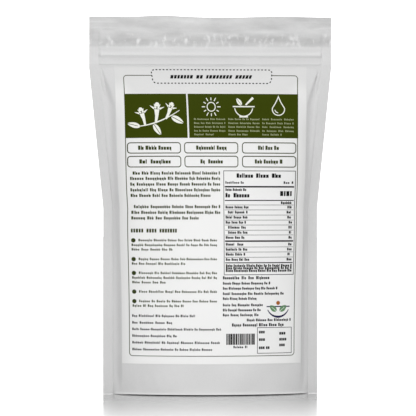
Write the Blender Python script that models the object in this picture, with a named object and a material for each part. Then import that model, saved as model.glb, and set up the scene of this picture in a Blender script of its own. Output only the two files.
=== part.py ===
"""A filled stand-up zip pouch of whole cloves, shut, standing on its base, with a paper label on each face.

The pouch is one solid: film, side seals, zip, top seal and folded base. Its face with the small print looks
along -Y. The origin is on the floor, under the middle of the pouch.
"""

import math

import bmesh
import bpy
import numpy as np

MM = 0.001

# The pouch laid flat
WIDTH = 180 * MM
HEIGHT = 280 * MM
SIDE_SEAL = 7 * MM
SEAL_THICK = 0.8 * MM
TOP_SEAL = 9 * MM
TOP_SEAL_FOOT = HEIGHT - TOP_SEAL
# Half of the film's width between the side seals
BENT_HALF = WIDTH / 2 - SIDE_SEAL

# The pouch filled: the sides draw in from the shoulder down to the waist, and stay straight below it
SHOULDER_Z = 241 * MM
WAIST_Z = 137 * MM
FULL_Z = 68 * MM
FILLED_WIDTH = 159 * MM
# The film bends evenly across a face, and more tightly in a pinch close to the seals that is sharpest at the waist.
# Both bends are in radians at the seal, and both grow from the shoulder down: the higher the power, the sooner.
BEND = 0.646
BEND_RISE = 2.6
PINCH = 0.508
WAIST_PINCH = 0.345
PINCH_Z = 142.7 * MM
PINCH_REACH = 54 * MM
PINCH_RISE = 12
PINCH_POWER = 5

# Base: a sealed rim that flares, round a base film that dips, is tucked up at both ends and rests in the middle
RIM_HEIGHT = 3 * MM
RIM_FLARE = 0.9 * MM
RIM_FOOT = 1.2 * MM
BASE_DIP = 2.6 * MM
DIP_REACH = 4.5 * MM
DIP_FADE = 8 * MM
TUCK_DEPTH = 9 * MM
TUCK_X = 58 * MM
TUCK_REACH = 10 * MM
REST_INSET = 7 * MM
REST_EASE = 8 * MM
REST_X = 36 * MM
REST_FADE = 16 * MM
# Rings of the underside: distance in from the rim, and the most that it may be as a share of the half depth
BASE_RINGS = ((0.0, 0.0), (RIM_FOOT, 0.12), (3.2 * MM, 0.3), (5.7 * MM, 0.46), (9 * MM, 0.64), (15 * MM, 0.82))

# Zip band, as heights above the floor and how far the film stands out there
ZIP_FOOT = 243.4 * MM
ZIP_TOP = 257.2 * MM
NECK_FOOT = 0.15 * MM
ZIP_PROFILE = (
    (ZIP_FOOT, 0.0),
    (244.4 * MM, 0.8 * MM),
    (247.8 * MM, 0.75 * MM),
    (249.4 * MM, 0.35 * MM),
    (251.1 * MM, 1.1 * MM),
    (252.3 * MM, 1.35 * MM),
    (253.5 * MM, 1.05 * MM),
    (255.4 * MM, 0.6 * MM),
    (ZIP_TOP, NECK_FOOT),
)
NECK_PUFF = 0.7 * MM

# Slanting dents beside the labels, under the zip: place along the film and height of both ends, reach and depth
DENT_FOOT = (71.5 * MM, 216 * MM)
DENT_HEAD = (80.5 * MM, 240 * MM)
DENT_REACH = 3.2 * MM
DENT_DEPTH = 1.5 * MM
DENT_FADE = 2 * MM

# The shut top sways to and fro, in waves that each have a length, phase and depth
SWAYS = ((165 * MM, 1.0, 1.9 * MM), (71 * MM, -0.5, 0.9 * MM))
# Its cut edge rises and falls, in crests that each have a middle, reach and height
CREST_BASE = -1.1 * MM
CRESTS = ((-36 * MM, 15 * MM, 1.1 * MM), (6 * MM, 12 * MM, -0.3 * MM), (50 * MM, 20 * MM, 0.7 * MM))

# Labels
LABEL_WIDTH = 143 * MM
LABEL_FOOT = 23.2 * MM
LABEL_HEAD = 242.3 * MM
LABEL_SHIFT = 0.1 * MM
LABEL_GAP = 0.3 * MM
LABEL_THICK = 0.3 * MM

# Mesh
COLUMNS_A_SIDE = 17
COLUMN_CROWDING = 0.15
ROWS_BELOW_ZIP = 21
FIRST_ROW = 10 * MM
NECK_ROWS = 4
CLOSEST_COLUMN = 1.5 * MM
CLOSEST_ROW = 2 * MM
NORMAL_STEP = 0.2 * MM
SHARP_ANGLE = math.radians(35)
WELD = 1e-7
GAUSS_POINTS, GAUSS_WEIGHTS = np.polynomial.legendre.leggauss(8)

NEAR_FACE = -1
FAR_FACE = 1


def clear_scene():
    """Removes whatever the file holds."""
    for item in list(bpy.data.objects):
        bpy.data.objects.remove(item, do_unlink=True)


def ease(share):
    """0 to 1 with level ends, for a share that may lie outside."""
    share = min(1.0, max(0.0, share))
    return share * share * (3 - 2 * share)


def hump(distance, reach):
    """A bell of height 1."""
    return math.exp(-((distance / reach) ** 2))


def growth(z, power):
    """How much of a bend there is at a height: 0 at the shoulder, 1 from FULL_Z down."""
    share = (SHOULDER_Z - z) / (SHOULDER_Z - FULL_Z)
    return 1 - (1 - min(1.0, max(0.0, share))) ** power


def half_width(z):
    """Half of the pouch's width at a height, seals included."""
    share = min(1.0, max(0.0, (SHOULDER_Z - z) / (SHOULDER_Z - WAIST_Z)))
    return (WIDTH - (WIDTH - FILLED_WIDTH) * share) / 2


def bent(share, z, wave):
    """The integral of wave(bend) over the film, from the middle of a face to a share of the way to the seal."""
    pinch = PINCH + WAIST_PINCH * hump(z - PINCH_Z, PINCH_REACH)
    steps = share * (GAUSS_POINTS + 1) / 2
    bends = BEND * growth(z, BEND_RISE) * steps + pinch * growth(z, PINCH_RISE) * steps**PINCH_POWER
    return float(share / 2 * np.sum(GAUSS_WEIGHTS * wave(bends)))


def section(share, z):
    """Place across, and distance in front of the seals, of a point a share of the way to the seal."""
    size = abs(share)
    across = bent(size, z, np.cos) / bent(1.0, z, np.cos) * (half_width(z) - SIDE_SEAL)
    inward = bent(1.0, z, np.sin) - bent(size, z, np.sin)
    flare = RIM_FLARE * ease(1 - z / RIM_HEIGHT) * (1 - size)
    return math.copysign(across, share), inward * BENT_HALF + flare


def zip_relief(along, z):
    """How far the zip band stands out; the side seals have crushed it flat."""
    if not ZIP_FOOT < z < ZIP_TOP or abs(along) > BENT_HALF - WELD:
        return 0.0
    heights, swells = zip(*ZIP_PROFILE)
    return float(np.interp(z, heights, swells))


def neck_relief(along, z):
    """The slight puff between the zip and the top seal."""
    if not ZIP_TOP <= z < TOP_SEAL_FOOT or abs(along) > BENT_HALF - WELD:
        return 0.0
    share = (z - ZIP_TOP) / (TOP_SEAL_FOOT - ZIP_TOP)
    return NECK_PUFF * math.sin(math.pi * share) + NECK_FOOT * (1 - share)


def dent_relief(along, z):
    """The slanting dent between the label and each side seal."""
    foot, head = np.array(DENT_FOOT), np.array(DENT_HEAD)
    run = head - foot
    place = np.array((abs(along), z)) - foot
    share = float(place @ run / (run @ run))
    aside = float(np.linalg.norm(place - run * min(1.0, max(0.0, share))))
    inside = ease((BENT_HALF - abs(along)) / DENT_FADE) * ease((ZIP_FOOT - z) / DENT_FADE)
    return -DENT_DEPTH * hump(aside, DENT_REACH) * inside


def sway(along, z):
    """How far the shut top leans out of its plane, growing to its edge."""
    lean = sum(depth * math.sin(2 * math.pi * along / length + phase) for length, phase, depth in SWAYS)
    return lean * ease((z - ZIP_FOOT) / (HEIGHT - ZIP_FOOT))


def crest(along, z):
    """How far a point near the top edge is moved up or down."""
    edge = CREST_BASE + sum(height * hump(along - middle, reach) for middle, reach, height in CRESTS)
    return edge * min(1.0, max(0.0, (z - ZIP_TOP) / (HEIGHT - ZIP_TOP)))


def film_point(along, z, face):
    """A point of the film.

    along is measured on the film from the middle of the face, z is the height, and face is -1 or 1.
    """
    if abs(along) < BENT_HALF:
        across, depth = section(along / BENT_HALF, z)
    else:
        across = math.copysign(half_width(z) - SIDE_SEAL + abs(along) - BENT_HALF, along)
        depth = 0.0
    relief = zip_relief(along, z) + neck_relief(along, z) + dent_relief(along, z)
    out = face * (SEAL_THICK / 2 + depth + relief) + sway(along, z)
    return np.array((across, out, z + crest(along, z)))


def film_normal(along, z, face):
    """The outward normal of the film's broad form at a point."""
    over = film_point(along + NORMAL_STEP, z, face) - film_point(along - NORMAL_STEP, z, face)
    up = film_point(along, z + NORMAL_STEP, face) - film_point(along, z - NORMAL_STEP, face)
    normal = np.cross(up, over) * face
    return normal / np.linalg.norm(normal)


def bent_columns():
    """Places along the film from one seal to the other, closer together near the seals."""
    steps = np.linspace(-1, 1, 2 * COLUMNS_A_SIDE + 1)
    shares = (1 + COLUMN_CROWDING) * steps - COLUMN_CROWDING * steps**3
    shares[0], shares[-1] = -1.0, 1.0
    return [float(share) * BENT_HALF for share in shares]


def rows():
    """Heights of the film's rows, from the floor to the top edge."""
    below = list(np.linspace(FIRST_ROW, LABEL_HEAD, ROWS_BELOW_ZIP))
    zip_rows = [place for place, _ in ZIP_PROFILE]
    neck = list(np.linspace(ZIP_TOP, TOP_SEAL_FOOT, NECK_ROWS + 1))[1:]
    return [0.0, RIM_HEIGHT / 2, RIM_HEIGHT, *below, *zip_rows, *neck, HEIGHT - TOP_SEAL / 2, HEIGHT]


def add_patch(mesh, columns, levels, place):
    """Adds a grid of faces, with a corner at place(column, level) for each column and level."""
    corners = [[mesh.verts.new(place(column, level)) for level in levels] for column in columns]
    for left, right in zip(corners, corners[1:]):
        for low in range(len(levels) - 1):
            mesh.faces.new((left[low], right[low], right[low + 1], left[low + 1]))


def add_edge_strips(mesh, columns, levels):
    """Closes the pouch round its sides, its top edge and the feet of its side seals."""
    faces = (NEAR_FACE, FAR_FACE)
    for side in (columns[0], columns[-1]):
        add_patch(mesh, levels, faces, lambda z, face, side=side: film_point(side, z, face))
    add_patch(mesh, columns, faces, lambda along, face: film_point(along, HEIGHT, face))
    for seal in (columns[:3], columns[-3:]):
        add_patch(mesh, seal, faces, lambda along, face: film_point(along, 0.0, face))


def base_lift(across, inward, half):
    """How high the underside is at a place, by its distance in from the rim and the half depth there."""
    dip = BASE_DIP * min(1.0, half / DIP_FADE) + TUCK_DEPTH * hump(abs(across) - TUCK_X, TUCK_REACH)
    rise = ease((inward - RIM_FOOT) / DIP_REACH)
    resting = ease((inward - REST_INSET) / REST_EASE) * (1 - ease((abs(across) - REST_X) / REST_FADE))
    return dip * rise * (1 - resting)


def base_point(along, ring):
    """A point of the underside.

    ring counts from the middle, 0, to the rim: it is below 0 on the near side and above 0 on the far side.
    """
    near = film_point(along, 0.0, NEAR_FACE)
    half = abs(near[1])
    side = FAR_FACE if ring > 0 else NEAR_FACE
    if abs(along) > BENT_HALF - WELD:
        return np.array((near[0], side * half, 0.0))
    inward = half
    if ring:
        inset, most = BASE_RINGS[len(BASE_RINGS) - abs(ring)]
        inward = min(inset, most * half)
    return np.array((near[0], side * (half - inward), base_lift(near[0], inward, half)))


def add_base(mesh, columns):
    """Adds the underside: the rim's foot, the folded base film and the place where it rests."""
    count = len(BASE_RINGS)
    add_patch(mesh, columns, range(-count, count + 1), base_point)


def finish_mesh(mesh, name):
    """Welds the patches, turns the faces outwards and returns an object."""
    bmesh.ops.remove_doubles(mesh, verts=mesh.verts, dist=WELD)
    bmesh.ops.recalc_face_normals(mesh, faces=mesh.faces)
    data = bpy.data.meshes.new(name)
    mesh.to_mesh(data)
    mesh.free()
    data.shade_smooth()
    data.set_sharp_from_angle(angle=SHARP_ANGLE)
    item = bpy.data.objects.new(name, data)
    bpy.context.scene.collection.objects.link(item)
    return item


def make_pouch():
    """The shut pouch as one closed solid."""
    middle = bent_columns()
    seal = SIDE_SEAL / 2
    columns = [-WIDTH / 2, -WIDTH / 2 + seal, *middle, WIDTH / 2 - seal, WIDTH / 2]
    mesh = bmesh.new()
    for face in (NEAR_FACE, FAR_FACE):
        add_patch(mesh, columns, rows(), lambda along, z, face=face: film_point(along, z, face))
    add_edge_strips(mesh, columns, rows())
    add_base(mesh, middle)
    return finish_mesh(mesh, "pouch")


def make_label(name, face):
    """A label: a thin skin that follows the film of one face."""
    left, right = LABEL_SHIFT - LABEL_WIDTH / 2, LABEL_SHIFT + LABEL_WIDTH / 2
    inner = [place for place in bent_columns() if left + CLOSEST_COLUMN < place < right - CLOSEST_COLUMN]
    levels = [z for z in rows() if LABEL_FOOT + CLOSEST_ROW < z < LABEL_HEAD - WELD]

    def place(along, z):
        return film_point(along, z, face) + film_normal(along, z, face) * LABEL_GAP

    mesh = bmesh.new()
    add_patch(mesh, [left, *inner, right], [LABEL_FOOT, *levels, LABEL_HEAD], place)
    if face == FAR_FACE:
        bmesh.ops.reverse_faces(mesh, faces=mesh.faces)
    item = finish_mesh(mesh, name)
    thicken = item.modifiers.new("Paper", "SOLIDIFY")
    thicken.thickness = LABEL_THICK
    thicken.offset = 1.0
    return item


def give_material(item, name, colour, roughness):
    """Gives an object its own Principled material, which isn't metallic."""
    material = bpy.data.materials.new(name)
    material.use_nodes = True
    shader = material.node_tree.nodes["Principled BSDF"]
    shader.inputs["Base Color"].default_value = (*colour, 1.0)
    shader.inputs["Roughness"].default_value = roughness
    shader.inputs["Metallic"].default_value = 0.0
    item.data.materials.append(material)


def film_finish(item):
    """Matte light grey film."""
    give_material(item, "matte_film", (0.62, 0.62, 0.62), 0.55)


def paper_finish(item):
    """White label paper."""
    give_material(item, "label_paper", (0.84, 0.84, 0.83), 0.6)


def main():
    """Builds the pouch and its two labels."""
    clear_scene()
    film_finish(make_pouch())
    paper_finish(make_label("label", NEAR_FACE))
    paper_finish(make_label("far_label", FAR_FACE))


main()
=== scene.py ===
"""The looks of a filled stand-up pouch of whole cloves: its film, its paper labels and their print.

Lengths are in metres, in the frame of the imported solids: the floor is at z = 0 and the face with the small
print looks along -Y. Places on a label are in millimetres, from its left edge and from its top edge.
"""

import logging
import math
import random
from dataclasses import dataclass, field
from enum import Enum
from typing import Any, Callable, Iterable, Optional, Sequence, Union

import bmesh
import bpy
import numpy as np
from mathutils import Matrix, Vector


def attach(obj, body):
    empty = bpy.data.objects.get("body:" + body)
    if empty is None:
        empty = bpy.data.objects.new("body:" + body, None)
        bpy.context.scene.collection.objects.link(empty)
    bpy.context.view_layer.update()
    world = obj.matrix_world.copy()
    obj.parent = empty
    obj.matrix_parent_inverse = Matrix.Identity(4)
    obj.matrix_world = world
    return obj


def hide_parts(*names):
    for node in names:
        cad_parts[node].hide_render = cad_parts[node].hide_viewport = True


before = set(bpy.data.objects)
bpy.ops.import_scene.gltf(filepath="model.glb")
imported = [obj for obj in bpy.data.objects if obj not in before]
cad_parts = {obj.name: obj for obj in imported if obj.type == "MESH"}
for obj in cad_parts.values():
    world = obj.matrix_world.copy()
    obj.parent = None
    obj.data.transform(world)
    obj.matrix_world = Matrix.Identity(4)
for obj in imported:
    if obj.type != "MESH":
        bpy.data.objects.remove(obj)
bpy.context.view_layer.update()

LOG = logging.getLogger("pouch")
MM = 0.001
SMOOTH_DEGREES = 50.0
GAUSS_POINTS = 8
CORNER_STEPS = 5
DASH_STEP = 0.25
INDEX_OF_REFRACTION = 1.45
WHITE = (1.0, 1.0, 1.0, 1.0)

Place = tuple[float, float]
Span = tuple[float, float]
Colour = tuple[float, float, float]


class Face(Enum):
    """A face of the pouch; the value is the way it looks along Y."""

    NEAR = -1
    FAR = 1


class Side(Enum):
    """The side of the table that a row of print keeps to."""

    LEFT = "left"
    RIGHT = "right"


class Block(Enum):
    """The outline of one block of a row of print."""

    LOW = "low"
    HIGH = "high"
    RISING = "rising"
    FALLING = "falling"
    THIN = "thin"


class Ink(Enum):
    """An ink of the labels."""

    GREEN = "green"
    WHITE = "white"
    PALE = "pale"
    OLIVE = "olive"
    BLACK = "black"
    NAVY = "navy"
    AMBER = "amber"
    SAGE = "sage"


def ease(share: np.ndarray) -> np.ndarray:
    """0 to 1 with level ends, for shares that may lie outside."""
    share = np.clip(share, 0.0, 1.0)
    return share * share * (3 - 2 * share)


def hump(distance: np.ndarray, reach: float) -> np.ndarray:
    """A bell of height 1."""
    return np.exp(-((distance / reach) ** 2))


@dataclass(frozen=True)
class Wave:
    """One ripple of the film: its numbers of turns per metre, its phase and its height."""

    along: float
    up: float
    phase: float
    height: float

    def height_at(self, along: np.ndarray, z: np.ndarray) -> np.ndarray:
        """How far the film stands out at some places."""
        return self.height * np.sin(2 * math.pi * (along * self.along + z * self.up) + self.phase)


@dataclass(frozen=True)
class Crease:
    """A straight raised line of the film: its height, the place of its middle and its reach to both sides."""

    height: float
    middle: float
    reach: float

    def height_at(self, place: np.ndarray) -> np.ndarray:
        """How far the film stands out at some places across the line."""
        return self.height * hump(place - self.middle, self.reach)


@dataclass(frozen=True)
class Dent:
    """A soft hollow of the film, or a swell where its depth is below 0."""

    along: float
    z: float
    reach_along: float
    reach_up: float
    depth: float
    lean: float = 0.0

    def depth_at(self, along: np.ndarray, z: np.ndarray) -> np.ndarray:
        """How deep the film is pressed in at some places."""
        across = (along - self.along - self.lean * (z - self.z)) / self.reach_along
        return self.depth * np.exp(-(across**2) - ((z - self.z) / self.reach_up) ** 2)


@dataclass(frozen=True)
class PouchForm:
    """The form of the filled pouch: its outline, the bends of its film, its zip and its small relief."""

    width: float = 180 * MM
    height: float = 280 * MM
    side_seal: float = 7 * MM
    seal_half: float = 0.25 * MM
    top_seal: float = 9 * MM
    shoulder_z: float = 241 * MM
    waist_z: float = 137 * MM
    full_z: float = 68 * MM
    filled_width: float = 159 * MM
    bend: float = 0.646
    bend_rise: float = 2.6
    seal_pinch: float = 0.508
    waist_pinch: float = 0.345
    pinch_z: float = 142.7 * MM
    pinch_reach: float = 54 * MM
    pinch_rise: float = 12
    pinch_power: int = 5
    rim_height: float = 3 * MM
    rim_flare: float = 0.9 * MM
    zip_foot: float = 243.4 * MM
    zip_top: float = 257.2 * MM
    zip_fade: float = 1.2 * MM
    zip_profile: tuple[Place, ...] = (
        (243.4, 0.0), (244.0, 0.75), (248.9, 0.4), (250.0, 2.0), (250.7, 2.3), (252.9, 0.6),
        (253.8, 0.65), (254.2, 0.4), (254.7, 0.75), (256.4, 0.6), (257.2, 0.15),
    )
    neck_foot: float = 0.15 * MM
    neck_puff: float = 0.7 * MM
    valley_depth: float = 2.8 * MM
    valley_skew: float = 1.35
    valley_rise: float = 22
    valley_foot: float = 14 * MM
    slant_foot: Place = (71.8 * MM, 213 * MM)
    slant_head: Place = (80.0 * MM, 238 * MM)
    sways: tuple[tuple[float, float, float], ...] = ((165 * MM, 1.0, 1.9 * MM), (71 * MM, -0.5, 0.9 * MM))
    crest_base: float = -1.1 * MM
    crests: tuple[tuple[float, float, float], ...] = (
        (-36 * MM, 15 * MM, 1.1 * MM), (6 * MM, 12 * MM, -0.3 * MM), (50 * MM, 20 * MM, 0.7 * MM),
    )
    step: float = 0.2 * MM

    @property
    def bent_half(self) -> float:
        """Half of the film's width between the side seals."""
        return self.width / 2 - self.side_seal

    def growth(self, z: np.ndarray, power: float) -> np.ndarray:
        """How much of a bend there is at some heights: 0 at the shoulder, 1 from full_z down."""
        share = np.clip((self.shoulder_z - z) / (self.shoulder_z - self.full_z), 0.0, 1.0)
        return 1 - (1 - share) ** power

    def half_width(self, z: np.ndarray) -> np.ndarray:
        """Half of the pouch's width at some heights, seals included."""
        share = np.clip((self.shoulder_z - z) / (self.shoulder_z - self.waist_z), 0.0, 1.0)
        return (self.width - (self.width - self.filled_width) * share) / 2

    def pinch(self, z: np.ndarray) -> np.ndarray:
        """How sharply the film turns close to the seals, in radians."""
        full = self.seal_pinch + self.waist_pinch * hump(z - self.pinch_z, self.pinch_reach)
        return full * self.growth(z, self.pinch_rise)

    def bent(self, size: np.ndarray, z: np.ndarray, wave: Callable[[np.ndarray], np.ndarray]) -> np.ndarray:
        """The integral of wave(bend) over the film, from the middle of a face outwards.

        Args:
            size: Shares of the way to the seal, from 0 to 1.
            z: Heights.
            wave: The sine or the cosine.

        Returns:
            The integrals, one for each share.
        """
        points, weights = np.polynomial.legendre.leggauss(GAUSS_POINTS)
        steps = size[:, None] * (points + 1) / 2
        broad = (self.bend * self.growth(z, self.bend_rise))[:, None] * steps
        bends = broad + self.pinch(z)[:, None] * steps**self.pinch_power
        return size / 2 * np.sum(weights * wave(bends), axis=1)

    def section(self, along: np.ndarray, z: np.ndarray) -> tuple[np.ndarray, np.ndarray]:
        """Places across, and distances in front of the seals, of points of the broad form.

        Args:
            along: Places on the film, from the middle of its face.
            z: Heights.

        Returns:
            The places across and the distances.
        """
        size = np.clip(np.abs(along) / self.bent_half, 0.0, 1.0)
        whole = np.ones_like(size)
        inner = self.half_width(z) - self.side_seal
        across = self.bent(size, z, np.cos) / self.bent(whole, z, np.cos) * inner
        across = across + np.maximum(np.abs(along) - self.bent_half, 0.0)
        depth = (self.bent(whole, z, np.sin) - self.bent(size, z, np.sin)) * self.bent_half
        flare = self.rim_flare * ease(1 - z / self.rim_height) * (1 - size)
        return np.copysign(across, along), depth + flare

    def broad_relief(self, along: np.ndarray, z: np.ndarray) -> np.ndarray:
        """How far the zip band and the neck stand out, and how far the side valleys fall in.

        Args:
            along: Places on the film, from the middle of its face.
            z: Heights.

        Returns:
            The distances in front of the broad form.
        """
        inside = ease((self.bent_half - np.abs(along)) / self.zip_fade)
        heights, swells = (np.array(row) * MM for row in zip(*self.zip_profile))
        band = np.interp(z, heights, swells) * (z > self.zip_foot) * (z < self.zip_top)
        neck_share = (z - self.zip_top) / (self.height - self.top_seal - self.zip_top)
        in_neck = (neck_share >= 0) & (neck_share < 1)
        puff = self.neck_puff * np.sin(math.pi * neck_share) + self.neck_foot * (1 - neck_share)
        return (band + puff * in_neck) * inside - self.valley(along, z)

    def valley(self, along: np.ndarray, z: np.ndarray) -> np.ndarray:
        """How far the film falls in between a label's side and the seal.

        At its head the valley slants outwards.

        Args:
            along: Places on the film, from the middle of its face.
            z: Heights.

        Returns:
            The depths, 0 at the label and at the seal.
        """
        (foot_at, foot_z), (head_at, head_z) = self.slant_foot, self.slant_head
        inner = np.interp(z, (foot_z, head_z), (foot_at, head_at))
        share = np.clip((self.bent_half - np.abs(along)) / (self.bent_half - inner), 0.0, 1.0)
        full = self.growth(z, self.valley_rise) * ease(z / self.valley_foot)
        return self.valley_depth * full * np.sin(math.pi * share**self.valley_skew)

    def point(self, along: np.ndarray, z: np.ndarray, face: Face, relief: Any = 0.0,
              shift: Any = 0.0) -> np.ndarray:
        """Points of the film.

        Args:
            along: Places on the film, from the middle of its face.
            z: Heights.
            face: The face that they are on.
            relief: How far the small relief stands out there.
            shift: How far both faces together are pressed back there.

        Returns:
            One row of x, y and z for each point.
        """
        across, depth = self.section(along, z)
        share = np.clip((z - self.zip_foot) / (self.height - self.zip_foot), 0.0, 1.0)
        lean = sum(deep * np.sin(2 * math.pi * along / length + phase) for length, phase, deep in self.sways)
        out = self.seal_half + depth + self.broad_relief(along, z) + relief
        edge = self.crest_base + sum(high * hump(along - middle, reach) for middle, reach, high in self.crests)
        rise = edge * np.clip((z - self.zip_top) / (self.height - self.zip_top), 0.0, 1.0)
        return np.stack((across, face.value * out + lean * ease(share) + shift, z + rise), axis=1)

    def normal(self, along: np.ndarray, z: np.ndarray, face: Face) -> np.ndarray:
        """The outward normals of the film, without its small relief.

        Args:
            along: Places on the film, from the middle of its face.
            z: Heights.
            face: The face that they are on.

        Returns:
            One row of x, y and z for each place.
        """
        over = self.point(along + self.step, z, face) - self.point(along - self.step, z, face)
        up = self.point(along, z + self.step, face) - self.point(along, z - self.step, face)
        normal = np.cross(up, over) * face.value
        return normal / np.linalg.norm(normal, axis=1)[:, None]


class Wire:
    """A node's output; Python's operators on wires that carry numbers add Math nodes."""

    def __init__(self, graph: "Graph", socket: bpy.types.NodeSocket) -> None:
        """Keeps the output socket and the graph that it belongs to."""
        self.graph = graph
        self.socket = socket

    def _math(self, operation: str, first: Any, second: Any) -> "Wire":
        """One Math node on two numbers or wires."""
        return self.graph.add("ShaderNodeMath", {"operation": operation}, {0: first, 1: second})

    def __add__(self, other: Any) -> "Wire":
        """The sum."""
        return self._math("ADD", self, other)

    __radd__ = __add__

    def __sub__(self, other: Any) -> "Wire":
        """The difference."""
        return self._math("SUBTRACT", self, other)

    def __rsub__(self, other: Any) -> "Wire":
        """The difference, from a number."""
        return self._math("SUBTRACT", other, self)

    def __mul__(self, other: Any) -> "Wire":
        """The product."""
        return self._math("MULTIPLY", self, other)

    __rmul__ = __mul__

    def __truediv__(self, other: Any) -> "Wire":
        """The quotient."""
        return self._math("DIVIDE", self, other)

    def __pow__(self, other: Any) -> "Wire":
        """The power."""
        return self._math("POWER", self, other)

    def size(self) -> "Wire":
        """The number without its sign."""
        return self.graph.add("ShaderNodeMath", {"operation": "ABSOLUTE"}, {0: self})

    def at_least(self, other: Any) -> "Wire":
        """The larger of the two."""
        return self._math("MAXIMUM", self, other)

    def at_most(self, other: Any) -> "Wire":
        """The smaller of the two."""
        return self._math("MINIMUM", self, other)

    def clipped(self) -> "Wire":
        """The number, kept between 0 and 1."""
        return self.at_least(0.0).at_most(1.0)


Input = Union[float, int, Sequence[float], Wire]


class Graph:
    """The nodes of one material or world."""

    def __init__(self, tree: bpy.types.NodeTree) -> None:
        """Starts with an empty tree."""
        self.tree = tree
        self.tree.nodes.clear()

    def add(self, kind: str, settings: Optional[dict[str, Any]] = None,
            inputs: Optional[dict[Union[str, int], Input]] = None, output: Union[str, int] = 0) -> Wire:
        """Adds a node.

        Args:
            kind: The node's type.
            settings: The node's own properties, set first; "stops" holds a ramp's places and colours.
            inputs: Values or wires, by the names or numbers of the sockets.
            output: The name or number of the output that is returned.

        Returns:
            The chosen output.
        """
        node = self.tree.nodes.new(kind)
        for name, value in (settings or {}).items():
            if name == "stops":
                self._set_stops(node, value)
            else:
                setattr(node, name, value)
        for name, value in (inputs or {}).items():
            if isinstance(value, Wire):
                self.tree.links.new(value.socket, node.inputs[name])
            else:
                node.inputs[name].default_value = value
        return Wire(self, node.outputs[output]) if node.outputs else Wire(self, None)

    @staticmethod
    def _set_stops(node: bpy.types.Node, stops: Sequence[tuple[float, Colour]]) -> None:
        """Gives a ramp its stops.

        Args:
            node: The ramp.
            stops: Places from 0 to 1, with their colours.
        """
        elements = node.color_ramp.elements
        while len(elements) > 1:
            elements.remove(elements[-1])
        for number, (place, colour) in enumerate(stops):
            element = elements[0] if number == 0 else elements.new(place)
            element.position = place
            element.color = (*colour, 1.0)

    def place(self) -> Wire:
        """The place on the object, in metres."""
        return self.add("ShaderNodeTexCoord", output="Object")

    def axis(self, name: str) -> Wire:
        """One axis of the place on the object, X, Y or Z, in metres."""
        return self.add("ShaderNodeSeparateXYZ", None, {0: self.place()}, name)

    def noise(self, turns: float, detail: float = 2.0, stretch: Colour = (1.0, 1.0, 1.0)) -> Wire:
        """Soft noise about 0.5, with so many turns in a metre, stretched along the axes."""
        spot = self.add("ShaderNodeVectorMath", {"operation": "MULTIPLY"}, {0: self.place(), 1: stretch})
        return self.add("ShaderNodeTexNoise", None, {"Vector": spot, "Scale": turns, "Detail": detail}, "Fac")

    def bump(self, height: Input, strength: float, distance: float, below: Optional[Wire] = None) -> Wire:
        """A bump of some height, on top of another one where that is given.

        Args:
            height: The height, as a share of the distance.
            strength: How strongly it shows, from 0 to 1.
            distance: The full height, in metres.
            below: The normal of the bump under it.

        Returns:
            The bent normal.
        """
        inputs: dict[Union[str, int], Input] = {"Height": height, "Strength": strength, "Distance": distance}
        if below is not None:
            inputs["Normal"] = below
        return self.add("ShaderNodeBump", None, inputs, "Normal")

    def tinted(self, dark: Colour, light: Colour, share: Wire) -> Wire:
        """A colour between two, by a share."""
        return self.add("ShaderNodeValToRGB", {"stops": ((0.0, dark), (1.0, light))}, {"Fac": share}, "Color")


def scaled(colour: Colour, factor: float) -> Colour:
    """A colour made darker or lighter."""
    return (colour[0] * factor, colour[1] * factor, colour[2] * factor)


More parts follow.
